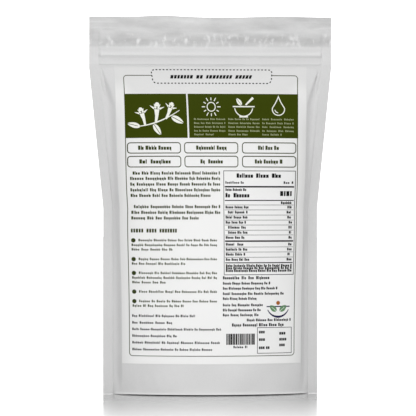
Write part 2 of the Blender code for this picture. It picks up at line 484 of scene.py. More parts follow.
@dataclass(frozen=True)
class FilmFinish:
    """Matte laminated film: light grey, faintly mottled, with fine grain and soft creases, and painted sheen,
    highlights and shade on its crumpled head.
    """

    name: str = "matte_film"
    colour: Colour = (0.665, 0.665, 0.665)
    mottle: float = 0.11
    grain: float = 0.06
    darkest: float = 0.7
    lightest: float = 1.2
    roughness: float = 0.42
    unevenness: float = 0.12
    mottle_turns: float = 28.0
    grain_turns: float = 900.0
    crease_turns: float = 55.0
    grain_depth: float = 0.03 * MM
    crease_depth: float = 0.35 * MM
    crease_stretch: Colour = (1.0, 1.0, 0.35)
    relief_strength: float = 0.5
    seal_tone: float = 0.075
    # Painted light of the head: clouds of painted sheen and shade on the neck, painted highlights and a band of
    # painted shade on the row of puckers.
    neck_turns: float = 60.0
    neck_sheen_shade: float = 0.65
    cloud_ground: float = 0.6
    neck_foot: float = 256 * MM
    neck_blur: float = 3 * MM
    neck_stretch: Colour = (0.55, 1.0, 2.2)
    pucker_turns: float = 250.0
    pucker_highlight: float = 2.2
    pucker_shade: float = 0.12
    highlight_from: float = 0.52
    pucker_z: float = 261.5 * MM
    pucker_reach: float = 6 * MM
    pucker_stretch: Colour = (1.0, 1.0, 0.6)
    zip_tone: float = 0.05
    zip_middle: float = 250.4 * MM
    zip_reach: float = 7 * MM
    seal_blur: float = 0.8 * MM
    seal_fade: float = 60 * MM

    def seal_mask(self, graph: Graph, form: PouchForm) -> Wire:
        """Where the side seals are, below the shoulder.

        Args:
            graph: The nodes of the material.
            form: The form that tells how wide the pouch is.

        Returns:
            1 on the seals and 0 beside them.
        """
        x = graph.axis("X")
        z = graph.axis("Z")
        below = (form.shoulder_z - z).at_least(0.0)
        drawn = (below / (form.shoulder_z - form.waist_z)).at_most(1.0)
        drawn_in = drawn * ((form.width - form.filled_width) / 2)
        from_edge = form.width / 2 - drawn_in - x.size()
        inside = ((form.side_seal + self.seal_blur / 2 - from_edge) / self.seal_blur).clipped()
        return inside * (below / self.seal_fade).at_most(1.0)

    def head_shading(self, graph: Graph) -> Wire:
        """Painted light of the film's head: an even lighter band on the zip, and above it broad clouds of
        painted sheen and shade and a row of painted highlight flecks with a band of painted shade.

        Args:
            graph: The nodes of the material.

        Returns:
            The tone, which is 0 below the zip.
        """
        z = graph.axis("Z")
        sheen_clouds = graph.noise(self.neck_turns, 3.0, self.neck_stretch)
        above = ((z - self.neck_foot) / self.neck_blur).clipped()
        small = graph.noise(self.pucker_turns, 2.0, self.pucker_stretch)
        band = (1.0 - (z - self.pucker_z).size() / self.pucker_reach).at_least(0.0)
        on_zip = ((self.zip_reach - (z - self.zip_middle).size()) / MM).clipped()
        highlight_flecks = (small - self.highlight_from).at_least(0.0) * self.pucker_highlight - self.pucker_shade
        # painted sheen and shade on the neck, painted highlight flecks and painted shade on the puckers
        painted_head_light = (sheen_clouds - self.cloud_ground) * above * self.neck_sheen_shade + highlight_flecks * band
        return painted_head_light + on_zip * self.zip_tone

    def material(self, form: PouchForm) -> bpy.types.Material:
        """The film's material.

        Args:
            form: The form of the pouch that it dresses.

        Returns:
            The material.
        """
        material = bpy.data.materials.new(self.name)
        material.use_nodes = True
        graph = Graph(material.node_tree)
        broad = graph.noise(self.mottle_turns, 4.0)
        grain = graph.noise(self.grain_turns, 1.0)
        creases = graph.noise(self.crease_turns, 3.0, self.crease_stretch)
        tone = (broad - 0.5) * self.mottle + (grain - 0.5) * self.grain
        tone = tone + self.head_shading(graph) - self.seal_mask(graph, form) * self.seal_tone
        share = (tone + (1 - self.darkest)) / (self.lightest - self.darkest)
        colour = graph.tinted(scaled(self.colour, self.darkest), scaled(self.colour, self.lightest), share)
        creased = graph.bump(creases, self.relief_strength, self.crease_depth)
        grained = graph.bump(grain, self.relief_strength, self.grain_depth, creased)
        shader = graph.add("ShaderNodeBsdfPrincipled", None, {
            "Base Color": colour,
            "Roughness": broad * self.unevenness + (self.roughness - self.unevenness / 2),
            "IOR": INDEX_OF_REFRACTION,
            "Normal": grained,
        })
        graph.add("ShaderNodeOutputMaterial", None, {"Surface": shader})
        return material


@dataclass(frozen=True)
class PaperFinish:
    """Smooth white label paper, faintly mottled, with painted shade towards its sides and its head and growing
    towards its top.
    """

    name: str = "label_paper"
    colour: Colour = (0.875, 0.875, 0.87)
    mottle: float = 0.012
    roughness: float = 0.55
    unevenness: float = 0.1
    # The paper is darkened towards its sides and its head, and more towards its top: painted shade.
    side_reach: float = 0.085
    side_shade: float = 0.10
    side_start: float = 0.11
    side_blur: float = 0.10
    head_reach: float = 0.16
    margin_reach: float = 0.085
    margin: float = 0.05
    head_shading: float = 0.10
    rise_shade: float = 0.09
    fibre_turns: float = 1100.0
    cloud_turns: float = 40.0
    fibre_depth: float = 0.02 * MM
    fibre_strength: float = 0.4
    side_fall: float = 1.5
    head_limit: float = 0.5

    def material(self) -> bpy.types.Material:
        """The paper's material.

        Returns:
            The material.
        """
        material = bpy.data.materials.new(self.name)
        material.use_nodes = True
        graph = Graph(material.node_tree)
        cloud = graph.noise(self.cloud_turns, 3.0)
        fibre = graph.noise(self.fibre_turns, 2.0)
        flat = graph.add("ShaderNodeUVMap", {"uv_map": LabelSheet.MAP})
        across = graph.add("ShaderNodeSeparateXYZ", None, {0: flat}, "X")
        down = graph.add("ShaderNodeSeparateXYZ", None, {0: flat}, "Y")
        from_side = across.at_most(1.0 - across)
        low = ((down - self.side_start) / self.side_blur).clipped()
        side = ((self.side_reach - from_side) / self.side_reach).at_least(0.0) ** self.side_fall * low
        inside = ((from_side - self.margin) / self.margin).clipped()
        reach = inside * (self.head_reach - self.margin_reach) + self.margin_reach
        head = ((reach - down) / reach).at_least(0.0).at_most(self.head_limit)
        # Painted shade: darker towards the sides below the head, towards the head, and upwards.
        edges = side * self.side_shade + head * (self.head_shading / self.head_limit)
        mottled_and_shaded = 1.0 - edges - (1.0 - down) * self.rise_shade - (cloud - 0.5) * (2 * self.mottle)
        colour = graph.tinted((0.0, 0.0, 0.0), self.colour, mottled_and_shaded)
        shader = graph.add("ShaderNodeBsdfPrincipled", None, {
            "Base Color": colour,
            "Roughness": cloud * self.unevenness + (self.roughness - self.unevenness / 2),
            "IOR": INDEX_OF_REFRACTION,
            "Normal": graph.bump(fibre, self.fibre_strength, self.fibre_depth),
        })
        graph.add("ShaderNodeOutputMaterial", None, {"Surface": shader})
        return material


@dataclass(frozen=True)
class InkFinish:
    """Printed ink: a little thinner in places, with a soft sheen."""

    name: str
    colour: Colour
    mottle: float = 0.10
    roughness: float = 0.5
    unevenness: float = 0.12
    gloss: float = 0.05
    cloud_turns: float = 60.0
    speck_turns: float = 1500.0
    speck_depth: float = 0.01 * MM
    speck_strength: float = 0.4
    cloud_share: float = 0.65

    def material(self) -> bpy.types.Material:
        """The ink's material.

        Returns:
            The material.
        """
        material = bpy.data.materials.new(self.name)
        material.use_nodes = True
        graph = Graph(material.node_tree)
        cloud = graph.noise(self.cloud_turns, 3.0)
        speck = graph.noise(self.speck_turns, 1.0)
        share = cloud * self.cloud_share + speck * (1 - self.cloud_share)
        colour = graph.tinted(scaled(self.colour, 1 - self.mottle), scaled(self.colour, 1 + self.mottle), share)
        shader = graph.add("ShaderNodeBsdfPrincipled", None, {
            "Base Color": colour,
            "Roughness": cloud * self.unevenness + (self.roughness - self.unevenness / 2),
            "IOR": INDEX_OF_REFRACTION,
            "Specular IOR Level": self.gloss,
            "Normal": graph.bump(speck, self.speck_strength, self.speck_depth),
        })
        graph.add("ShaderNodeOutputMaterial", None, {"Surface": shader})
        return material


INKS: dict[Ink, InkFinish] = {
    Ink.GREEN: InkFinish("green_ink", (0.035, 0.0485, 0.0006)),
    Ink.WHITE: InkFinish("white_ink", (0.86, 0.87, 0.80), mottle=0.03),
    Ink.PALE: InkFinish("pale_ink", (0.30, 0.33, 0.19), mottle=0.06),
    Ink.OLIVE: InkFinish("olive_ink", (0.045, 0.055, 0.018)),
    Ink.BLACK: InkFinish("black_ink", (0.006, 0.006, 0.006)),
    Ink.NAVY: InkFinish("navy_ink", (0.022, 0.018, 0.068)),
    Ink.AMBER: InkFinish("amber_ink", (0.36, 0.115, 0.03)),
    Ink.SAGE: InkFinish("sage_ink", (0.13, 0.27, 0.13)),
}


def smoothed(item: bpy.types.Object, degrees: float) -> bpy.types.Object:
    """Shades an object smooth, apart from edges sharper than an angle, and links it.

    Args:
        item: The object.
        degrees: The angle.

    Returns:
        The same object.
    """
    item.data.shade_smooth()
    item.data.set_sharp_from_angle(angle=math.radians(degrees))
    bpy.context.scene.collection.objects.link(item)
    return item


@dataclass
class PouchFilm:
    """The shut film bag: both faces, side seals, zip, top seal and folded base, as one closed mesh."""

    form: PouchForm
    name: str = "pouch_film"
    columns: int = 181
    low_step: float = 2.2 * MM
    high_step: float = 0.5 * MM
    fine_from: float = 239 * MM
    rim_gap: float = 0.7 * MM
    seal_gap: float = 0.12 * MM
    settle_from: float = 66 * MM
    settle_to: float = 81 * MM
    settle_reach: float = 3 * MM
    lip: float = 0.8 * MM
    lip_top: float = 1.75 * MM
    lip_reach: float = 1.0 * MM
    rim_rows: tuple[float, ...] = (0.7, 0.9, 1.1, 1.3, 1.5, 1.75, 2.1, 2.6, 3.2, 4.2, 5.6)
    seal_places: tuple[float, ...] = (83.6, 84.2, 84.8, 85.6, 86.4, 87.2, 88.2, 89.2, 90.0)
    base_shares: tuple[float, ...] = (
        0.0, 0.012, 0.03, 0.05, 0.08, 0.11, 0.15, 0.19, 0.24, 0.3, 0.36, 0.43, 0.51, 0.6, 0.7, 0.8, 0.9, 1.0,
    )
    base_dip: float = 2.6 * MM
    dip_reach: float = 4.5 * MM
    dip_fade: float = 8 * MM
    rim_foot: float = 0.5 * MM
    tuck_depth: float = 9 * MM
    tuck_x: float = 58 * MM
    tuck_reach: float = 10 * MM
    rest_inset: float = 7 * MM
    rest_ease: float = 8 * MM
    rest_x: float = 36 * MM
    rest_fade: float = 16 * MM
    foot_share: float = 0.5
    low_from: float = 7 * MM
    crowding: float = 0.12
    ripple_sets: tuple[tuple[float, float, float, int], ...] = ((22, 48, 0.05, 9), (5, 11, 0.012, 14))
    pucker_end: float = 81 * MM
    pucker_lean: Span = (0.1, 0.8)
    pucker_depth: Span = (0.2, 0.5)
    pucker_heights: Span = (258.6, 262.0)
    pucker_wide: Span = (0.8, 1.5)
    pucker_high: Span = (1.4, 2.8)
    pucker_pitch: Span = (2.0, 6.5)
    broad_hollows: tuple[Dent, ...] = (
        Dent(-31 * MM, 264.0 * MM, 8 * MM, 3.0 * MM, 1.9 * MM, 1.2),
        Dent(10 * MM, 267.5 * MM, 13 * MM, 2.6 * MM, 2.2 * MM),
        Dent(48 * MM, 261.5 * MM, 16 * MM, 2.4 * MM, 2.0 * MM),
        Dent(33 * MM, 267.0 * MM, 14 * MM, 2.4 * MM, -1.3 * MM),
        Dent(-62 * MM, 266.0 * MM, 12 * MM, 3.0 * MM, 1.0 * MM),
    )
    loose_count: int = 26
    loose_along: Span = (-75, 75)
    loose_heights: Span = (260, 276)
    loose_wide: Span = (4, 12)
    loose_high: Span = (1.6, 3.0)
    loose_depth: Span = (-0.35, 0.35)
    loose_lean: Span = (-1.5, 1.5)
    hollow_low_ease: float = 1.5 * MM
    hollow_high_ease: float = 5 * MM
    side_ease: float = 6 * MM
    head_ease: float = 2 * MM
    top_ease: float = 4 * MM
    seal_ease: float = 3 * MM
    seal_share: float = 0.3
    seal_lines: tuple[Crease, ...] = (
        Crease(0.3 * MM, 275.3 * MM, 0.55 * MM), Crease(0.3 * MM, 270.8 * MM, 0.55 * MM),
    )
    seal_line_from: float = 64 * MM
    seal_line_ease: float = 12 * MM
    edge_crease: Crease = Crease(0.12 * MM, 84.4 * MM, 0.5 * MM)
    edge_crease_foot: Span = (236 * MM, 6 * MM)
    edge_crease_head: Span = (262 * MM, 4 * MM)
    seal_fold: Crease = Crease(0.10 * MM, 86.6 * MM, 0.5 * MM)
    seal_fold_foot: Span = (10 * MM, 20 * MM)
    label_half: float = 71.5 * MM
    label_foot: float = 23.2 * MM
    label_head: float = 242.3 * MM
    seed: int = 7
    weld: float = 1e-6
    finish: FilmFinish = field(default_factory=FilmFinish)

    def ripples(self, rng: random.Random) -> list[Wave]:
        """Draws the film's faint ripples, from long and low to short and lower.

        Args:
            rng: The source of the draws.

        Returns:
            The ripples.
        """
        waves = []
        for shortest, longest, height, count in self.ripple_sets:
            for _ in range(count):
                turns = 1 / (rng.uniform(shortest, longest) * MM)
                angle = rng.uniform(0, math.pi)
                phase = rng.uniform(0, 2 * math.pi)
                waves.append(Wave(turns * math.cos(angle), turns * math.sin(angle), phase, height * MM))
        return waves

    def puckers(self, rng: random.Random) -> list[Dent]:
        """The row of small slanting puckers above the zip.

        Args:
            rng: The source of the draws.

        Returns:
            The puckers.
        """
        dents = []
        along = -self.pucker_end
        while along < self.pucker_end:
            lean = rng.choice((-1, 1)) * rng.uniform(*self.pucker_lean)
            depth = rng.uniform(*self.pucker_depth) * MM * rng.choice((-1, -1, 1))
            z = rng.uniform(*self.pucker_heights) * MM
            wide = rng.uniform(*self.pucker_wide) * MM
            high = rng.uniform(*self.pucker_high) * MM
            dents.append(Dent(along, z, wide, high, depth, lean))
            along += rng.uniform(*self.pucker_pitch) * MM
        return dents

    def hollows(self, rng: random.Random) -> list[Dent]:
        """The broad hollows and swells of the neck.

        Args:
            rng: The source of the draws.

        Returns:
            The ones that were set, then the loose ones.
        """
        spans = (self.loose_along, self.loose_heights, self.loose_wide, self.loose_high, self.loose_depth)
        loose = [
            Dent(*(rng.uniform(*span) * MM for span in spans), rng.uniform(*self.loose_lean))
            for _ in range(self.loose_count)
        ]
        return [*self.broad_hollows, *loose]

    def shift(self, along: np.ndarray, z: np.ndarray) -> np.ndarray:
        """How far both films together are pressed back at some places above the zip.

        Args:
            along: Places on the film, from the middle of its face.
            z: Heights.

        Returns:
            The distances along Y.
        """
        rng = random.Random(self.seed)
        dents = self.puckers(rng) + self.hollows(rng)
        above_zip = ease((z - self.form.zip_top) / self.hollow_low_ease)
        kept = above_zip * ease((self.form.height - z) / self.hollow_high_ease)
        return sum(dent.depth_at(along, z) for dent in dents) * kept

    def relief_rule(self, face: Face) -> Callable[[np.ndarray, np.ndarray], np.ndarray]:
        """The small relief of one face, as a rule of the place on the film.

        Args:
            face: The face.

        Returns:
            A function of places along the film and of heights.
        """
        form = self.form
        rng = random.Random(self.seed + face.value)
        waves = self.ripples(rng)

        def rule(along: np.ndarray, z: np.ndarray) -> np.ndarray:
            """How far the small relief stands out at some places.

            Args:
                along: Places on the film, from the middle of its face.
                z: Heights.

            Returns:
                The distances in front of the form.
            """
            size = np.abs(along)
            beside = ease((size - self.label_half) / self.side_ease)
            under = ease((self.label_foot - z) / self.side_ease)
            over = ease((z - self.label_head) / self.head_ease)
            free = np.maximum(np.maximum(beside, under), over)
            ends = ease(z / self.side_ease) * ease((form.height - z) / self.top_ease)
            inner = ease((form.bent_half - size) / self.seal_ease)
            rippled = sum(wave.height_at(along, z) for wave in waves) * free * ends
            rippled = rippled * (self.seal_share + (1 - self.seal_share) * inner)
            seal = sum(line.height_at(z) for line in self.seal_lines)
            seal = seal * ease((size - self.seal_line_from) / self.seal_line_ease)
            lip = self.lip * ease((self.lip_top - z) / self.lip_reach) * inner
            (foot, foot_ease), (head, head_ease) = self.edge_crease_foot, self.edge_crease_head
            crease = ease((z - foot) / foot_ease) * ease((head - z) / head_ease)
            crease = crease * self.edge_crease.height_at(size)
            foot, foot_ease = self.seal_fold_foot
            fold = self.seal_fold.height_at(size) * ease((z - foot) / foot_ease)
            return rippled + seal + lip + crease + fold

        return rule

    def settled(self, along: np.ndarray, z: np.ndarray) -> np.ndarray:
        """Heights that are lowered near the foot of the side seals, which stand on the floor.

        Args:
            along: Places on the film, from the middle of its face.
            z: Heights.

        Returns:
            The lowered heights.
        """
        beside = ease((np.abs(along) - self.settle_from) / (self.settle_to - self.settle_from))
        low = ease(1 - (z - self.rim_gap) / self.settle_reach)
        return z - (self.rim_gap - self.seal_gap) * beside * low

    def levels(self) -> np.ndarray:
        """Heights of the film's rows.

        Returns:
            The heights, from the rim to the top.
        """
        low = np.arange(self.low_from, self.fine_from, self.low_step)
        count = round((self.form.height - self.fine_from) / self.high_step) + 1
        fine = np.linspace(self.fine_from, self.form.height, count)
        return np.concatenate((np.array(self.rim_rows) * MM, low, fine))

    def middle_places(self) -> np.ndarray:
        """Places of the columns between the side seals.

        Returns:
            The places along the film, closer together near the seals.
        """
        steps = np.linspace(-1, 1, self.columns)
        return ((1 + self.crowding) * steps - self.crowding * steps**3) * self.form.bent_half

    def places(self) -> np.ndarray:
        """Places of the film's columns, from one cut side to the other.

        Returns:
            The places along the film.
        """
        outer = np.array(self.seal_places) * MM
        return np.concatenate((-outer[::-1], self.middle_places(), outer))

    def base_height(self, across: np.ndarray, inward: np.ndarray, half: np.ndarray,
                    foot: np.ndarray) -> np.ndarray:
        """How high the underside is.

        Args:
            across: Places along X.
            inward: How far in from the rim they are.
            half: Half of the depth of the base there.
            foot: How high the rim is there.

        Returns:
            The heights.
        """
        tuck = self.tuck_depth * hump(np.abs(across) - self.tuck_x, self.tuck_reach)
        dip = self.base_dip * np.minimum(1.0, half / self.dip_fade) + tuck
        rise = ease((inward - self.rim_foot) / self.dip_reach)
        middle = 1 - ease((np.abs(across) - self.rest_x) / self.rest_fade)
        resting = ease((inward - self.rest_inset) / self.rest_ease) * middle
        return (foot + (dip - foot * self.foot_share) * rise) * (1 - resting)

    def base_grid(self) -> np.ndarray:
        """Points of the underside, from the near rim through the middle to the far rim.

        Returns:
            A grid of points, by column and row.
        """
        along = self.middle_places()
        foot = self.settled(along, np.full_like(along, self.rim_gap))
        rows = []
        for face, shares in ((Face.NEAR, self.base_shares), (Face.FAR, self.base_shares[-2::-1])):
            rim = self.form.point(along, foot, face, self.relief_rule(face)(along, foot))
            half = np.abs(rim[:, 1])
            for share in shares:
                y = face.value * half * (1 - share)
                z = self.base_height(rim[:, 0], half * share, half, foot) if share > 0 else rim[:, 2]
                rows.append(np.stack((rim[:, 0], y, z), axis=1))
        grid = np.stack(rows, axis=1)
        grid[0, :, 2], grid[-1, :, 2] = foot[0], foot[-1]
        return grid

    def build(self) -> bpy.types.Object:
        """Builds and dresses the film.

        Returns:
            The film's object.
        """
        along, levels = self.places(), self.levels()
        wide, high = np.meshgrid(along, levels, indexing="ij")
        high = self.settled(wide, high)
        shift = self.shift(wide.ravel(), high.ravel())
        grids = {}
        for face in Face:
            relief = self.relief_rule(face)(wide.ravel(), high.ravel())
            points = self.form.point(wide.ravel(), high.ravel(), face, relief, shift)
            grids[face] = points.reshape(len(along), len(levels), 3)
        near, far = grids[Face.NEAR], grids[Face.FAR]
        seals = len(self.seal_places) + 1
        patches = [near, far, self.base_grid()]
        patches += [np.stack((near[side], far[side]), axis=1) for side in (0, -1)]
        patches.append(np.stack((near[:, -1], far[:, -1]), axis=1))
        feet = (slice(0, seals), slice(-seals, None))
        patches += [np.stack((near[part, 0], far[part, 0]), axis=1) for part in feet]
        item = self.stitched(patches)
        item.data.materials.append(self.finish.material(self.form))
        return smoothed(item, SMOOTH_DEGREES)

    def stitched(self, patches: Iterable[np.ndarray]) -> bpy.types.Object:
        """One welded mesh of some grids of points, with its faces turned outwards.

        Args:
            patches: The grids of points, which meet along their edges.

        Returns:
            The object, not yet linked.
        """
        mesh = bmesh.new()
        for patch in patches:
            corners = [[mesh.verts.new(point) for point in row] for row in patch]
            for left, right in zip(corners, corners[1:]):
                for low in range(len(left) - 1):
                    mesh.faces.new((left[low], right[low], right[low + 1], left[low + 1]))
        bmesh.ops.remove_doubles(mesh, verts=mesh.verts, dist=self.weld)
        bmesh.ops.recalc_face_normals(mesh, faces=mesh.faces)
        data = bpy.data.meshes.new(self.name)
        mesh.to_mesh(data)
        mesh.free()
        return bpy.data.objects.new(self.name, data)


@dataclass(frozen=True)
class LabelSheet:
    """A label laid on one face: where each place of the flat sheet comes to lie."""

    MAP = "Flat"

    form: PouchForm
    face: Face
    width: float = 143 * MM
    head: float = 242.3 * MM
    foot: float = 23.2 * MM
    shift: float = 0.1 * MM
    print_ease: float = 0.185

    @property
    def length(self) -> float:
        """The sheet's height."""
        return self.head - self.foot

    def surface(self, flat: np.ndarray, lift: float) -> np.ndarray:
        """Points over the film.

        Args:
            flat: Rows of the distance from the left edge and from the top edge, in metres.
            lift: How far the points lie off the film.

        Returns:
            One row of x, y and z for each place.
        """
        z = self.head - flat[:, 1]
        across = 2 * flat[:, 0] / self.width - 1
        squeeze = 1 - self.print_ease * self.form.pinch(z) * (1 - across**2)
        along = self.shift - self.face.value * self.width / 2 * across * squeeze
        return self.form.point(along, z, self.face) + self.form.normal(along, z, self.face) * lift


def path_points(path: Sequence[Place], closed: bool, longest: float = 2.0) -> np.ndarray:
    """The points of a path, with more put in where they are far apart.

    Args:
        path: The ends of its straight parts.
        closed: Whether it returns to its start.
        longest: The longest step, in millimetres.

    Returns:
        One row for each point.
    """
    ends = list(path) + ([path[0]] if closed else [])
    points = []
    for start, end in zip(ends, ends[1:]):
        count = max(1, math.ceil(math.dist(start, end) / longest))
        for number in range(count):
            share = number / count
            points.append((start[0] + (end[0] - start[0]) * share, start[1] + (end[1] - start[1]) * share))
    if not closed:
        points.append(ends[-1])
    return np.array(points)


def arc(middle: Place, radius: float, start: float, end: float, count: int) -> list[Place]:
    """Points of an arc between two angles in degrees, clockwise from the right as seen on the sheet."""
    angles = [math.radians(start + (end - start) * number / count) for number in range(count + 1)]
    return [(middle[0] + radius * math.cos(angle), middle[1] + radius * math.sin(angle)) for angle in angles]


def rounded_box(left: float, top: float, right: float, bottom: float, radius: float) -> list[Place]:
    """The closed outline of a box with round corners, from its top left corner on.

    Args:
        left: Its left side.
        top: Its top.
        right: Its right side.
        bottom: Its foot.
        radius: The radius of its corners.

    Returns:
        The points, clockwise.
    """
    path = arc((left + radius, top + radius), radius, 180, 270, CORNER_STEPS)
    path += arc((right - radius, top + radius), radius, 270, 360, CORNER_STEPS)
    path += arc((right - radius, bottom - radius), radius, 0, 90, CORNER_STEPS)
    path += arc((left + radius, bottom - radius), radius, 90, 180, CORNER_STEPS)
    return path


def curve(start: Place, pull: Place, end: Place, count: int) -> list[Place]:
    """Points of a curve.

    Args:
        start: Its start.
        pull: The place that it is drawn towards.
        end: Its end.
        count: How many steps it has.

    Returns:
        The points.
    """
    points = []
    for number in range(count + 1):
        t = number / count
        near, middle, far = (1 - t) ** 2, 2 * t * (1 - t), t * t
        points.append(tuple(near * a + middle * b + far * c for a, b, c in zip(start, pull, end)))
    return points


def turned(path: Sequence[Place], foot: Place, degrees: float, size: float) -> list[Place]:
    """A path that was drawn from (0, 0) upwards, turned clockwise, enlarged and set at its foot.

    Args:
        path: The path, 1 high.
        foot: Where its (0, 0) comes to lie.
        degrees: How far it is turned.
        size: How high it becomes, in millimetres.

    Returns:
        The points on the sheet.
    """
    angle = math.radians(degrees)
    cosine, sine = math.cos(angle) * size, math.sin(angle) * size
    return [(foot[0] + x * cosine + y * sine, foot[1] + x * sine - y * cosine) for x, y in path]


@dataclass(frozen=True)
class LeafForm:
    """The outline of a printed leaf: its steps, and how its width swells and falls along it."""

    steps: int = 11
    skew: float = 0.85
    fullness: float = 0.8


@dataclass(frozen=True)
class CloveForm:
    """A printed clove that is 1 high: its tapering stalk, its spread sepals and its round bud."""

    stalk: tuple[Place, ...] = ((0.0, 0.0), (0.02, 0.35), (0.0, 0.66))
    stalk_widths: tuple[float, ...] = (0.10, 0.15, 0.24)
    sepal_turns: tuple[int, ...] = (-62, -24, 24, 62)
    sepal_spread: float = 500.0
    sepal_foot: float = 0.69
    sepal_length: float = 0.24
    sepal_widths: tuple[float, ...] = (0.10, 0.02)
    bud_height: float = 0.89
    bud_radius: float = 0.105
    bud_cells: int = 4


LEAF = LeafForm()
CLOVE = CloveForm()


@dataclass
class PrintLayer:
    """All that is printed in one ink on one label: thin closed slabs that follow the paper."""

    sheet: LabelSheet
    name: str
    finish: Union[InkFinish, PaperFinish]
    lift: float
    thick: float
    places: list[Place] = field(default_factory=list)
    cells: list[tuple[int, int, int, int]] = field(default_factory=list)

    def grid(self, points: np.ndarray, closed: bool = False, kept: Optional[np.ndarray] = None) -> None:
        """Adds a slab.

        Args:
            points: A grid of places on the flat sheet, in millimetres.
            closed: Whether the last row of the grid joins the first one.
            kept: Which cells of the grid there are, where not all.
        """
        rows, columns = points.shape[:2]
        first = len(self.places)
        numbers = {}

        def corner(row: int, column: int) -> int:
            """The number of a corner, which is added when it is first used.

            Args:
                row: Its row in the grid.
                column: Its column in the grid.

            Returns:
                Its number in the layer.
            """
            key = (row % rows, column)
            if key not in numbers:
                numbers[key] = first + len(numbers)
                self.places.append((float(points[key][0]), float(points[key][1])))
            return numbers[key]

        for row in range(rows if closed else rows - 1):
            for column in range(columns - 1):
                if kept is None or kept[row, column]:
                    self.cells.append((corner(row, column), corner(row + 1, column),
                                       corner(row + 1, column + 1), corner(row, column + 1)))

    def area(self, left: float, top: float, right: float, bottom: float, step: float = 2.0) -> None:
        """Adds a field of colour.

        Args:
            left: Its left side.
            top: Its top.
            right: Its right side.
            bottom: Its foot.
            step: The largest size of its cells.
        """
        us = np.linspace(left, right, max(2, math.ceil((right - left) / step) + 1))
        vs = np.linspace(top, bottom, max(2, math.ceil((bottom - top) / step) + 1))
        self.grid(np.stack(np.meshgrid(us, vs, indexing="ij"), axis=2))

    def ribbon(self, path: Sequence[Place], width: Union[float, Sequence[float]], closed: bool = False,
               strands: int = 1) -> None:
        """Adds a line.

        Args:
            path: The points of its middle.
            width: Its width, or its widths from start to end.
            closed: Whether it returns to its start.
            strands: How many cells it is wide.
        """
        points = path_points(path, closed)
        ahead = np.roll(points, -1, axis=0) - points
        behind = points - np.roll(points, 1, axis=0)
        if not closed:
            ahead[-1], behind[0] = behind[-1], ahead[0]
        ahead /= np.linalg.norm(ahead, axis=1)[:, None]
        behind /= np.linalg.norm(behind, axis=1)[:, None]
        run = ahead + behind
        run /= np.linalg.norm(run, axis=1)[:, None]
        side = np.stack((-run[:, 1], run[:, 0]), axis=1) / np.maximum(np.sum(run * ahead, axis=1), 0.5)[:, None]
        widths = np.interp(np.linspace(0, 1, len(points)), np.linspace(0, 1, np.size(width)), np.ravel(width))
        offsets = np.linspace(-0.5, 0.5, strands + 1)
        self.grid(points[:, None] + side[:, None] * (widths[:, None] * offsets)[:, :, None], closed)

    def dashes(self, path: Sequence[Place], width: float, dash: float, gap: float) -> None:
        """Adds a broken line round a closed path.

        Args:
            path: The corners of the path.
            width: The line's width.
            dash: The length of a dash.
            gap: The room between dashes, which is fitted to the path.
        """
        points = path_points(path, True, DASH_STEP)
        ends = np.vstack((points, points[:1]))
        places = np.concatenate(((0.0,), np.cumsum(np.linalg.norm(np.diff(ends, axis=0), axis=1))))
        count = round(places[-1] / (dash + gap))
        pitch = places[-1] / count
        for number in range(count):
            stations = np.linspace(number * pitch, number * pitch + dash, 3)
            self.ribbon([(float(np.interp(s, places, ends[:, 0])), float(np.interp(s, places, ends[:, 1])))
                         for s in stations], width)

    def disc(self, middle: Place, radius: float, cells: int = 6) -> None:
        """Adds a round dot.

        Args:
            middle: Its middle.
            radius: Its radius.
            cells: How many cells it is wide.
        """
        steps = np.linspace(-1, 1, cells + 1)
        x, y = np.meshgrid(steps, steps, indexing="ij")
        u = middle[0] + radius * x * np.sqrt(1 - y * y / 2)
        v = middle[1] + radius * y * np.sqrt(1 - x * x / 2)
        self.grid(np.stack((u, v), axis=2))

    def ring(self, middle: Place, radius: float, width: float) -> None:
        """Adds a circle."""
        self.ribbon(arc(middle, radius, 0, 360, 24)[:-1], width, closed=True)

    def leaf(self, foot: Place, degrees: float, size: float, breadth: float = 0.36,
             vein: float = 0.05) -> None:
        """Adds a pointed leaf of two halves, with its vein left bare.

        Args:
            foot: Where it starts.
            degrees: How far it is turned from upright, clockwise.
            size: Its length.
            breadth: Its width, as a share of its length.
            vein: The width of its vein, as a share of its length.
        """
        shares = np.linspace(0.0, 1.0, LEAF.steps)
        for side in (-1, 1):
            outer = side * breadth / 2 * np.sin(math.pi * shares**LEAF.skew) ** LEAF.fullness + side * vein
            inner = np.full_like(shares, side * vein / 2)
            edges = [turned(list(zip(edge, shares)), foot, degrees, size) for edge in (inner, outer)]
            self.grid(np.array(edges).transpose(1, 0, 2))

    def clove(self, foot: Place, degrees: float, size: float) -> None:
        """Adds a clove: its tapering stalk, its four spread sepals and its round bud.

        Args:
            foot: The foot of its stalk.
            degrees: How far it is turned from upright, clockwise.
            size: Its length.
        """
        stalk = turned(CLOVE.stalk, foot, degrees, size)
        self.ribbon(stalk, [wide * size for wide in CLOVE.stalk_widths], strands=2)
        for turn in CLOVE.sepal_turns:
            root = turned([(turn / CLOVE.sepal_spread, CLOVE.sepal_foot)], foot, degrees, size)[0]
            tip = turned([(0.0, 0.0), (0.0, CLOVE.sepal_length)], root, degrees + turn, size)
            self.ribbon(tip, [wide * size for wide in CLOVE.sepal_widths])
        bud = turned([(0.0, CLOVE.bud_height)], foot, degrees, size)[0]
        self.disc(bud, CLOVE.bud_radius * size, CLOVE.bud_cells)

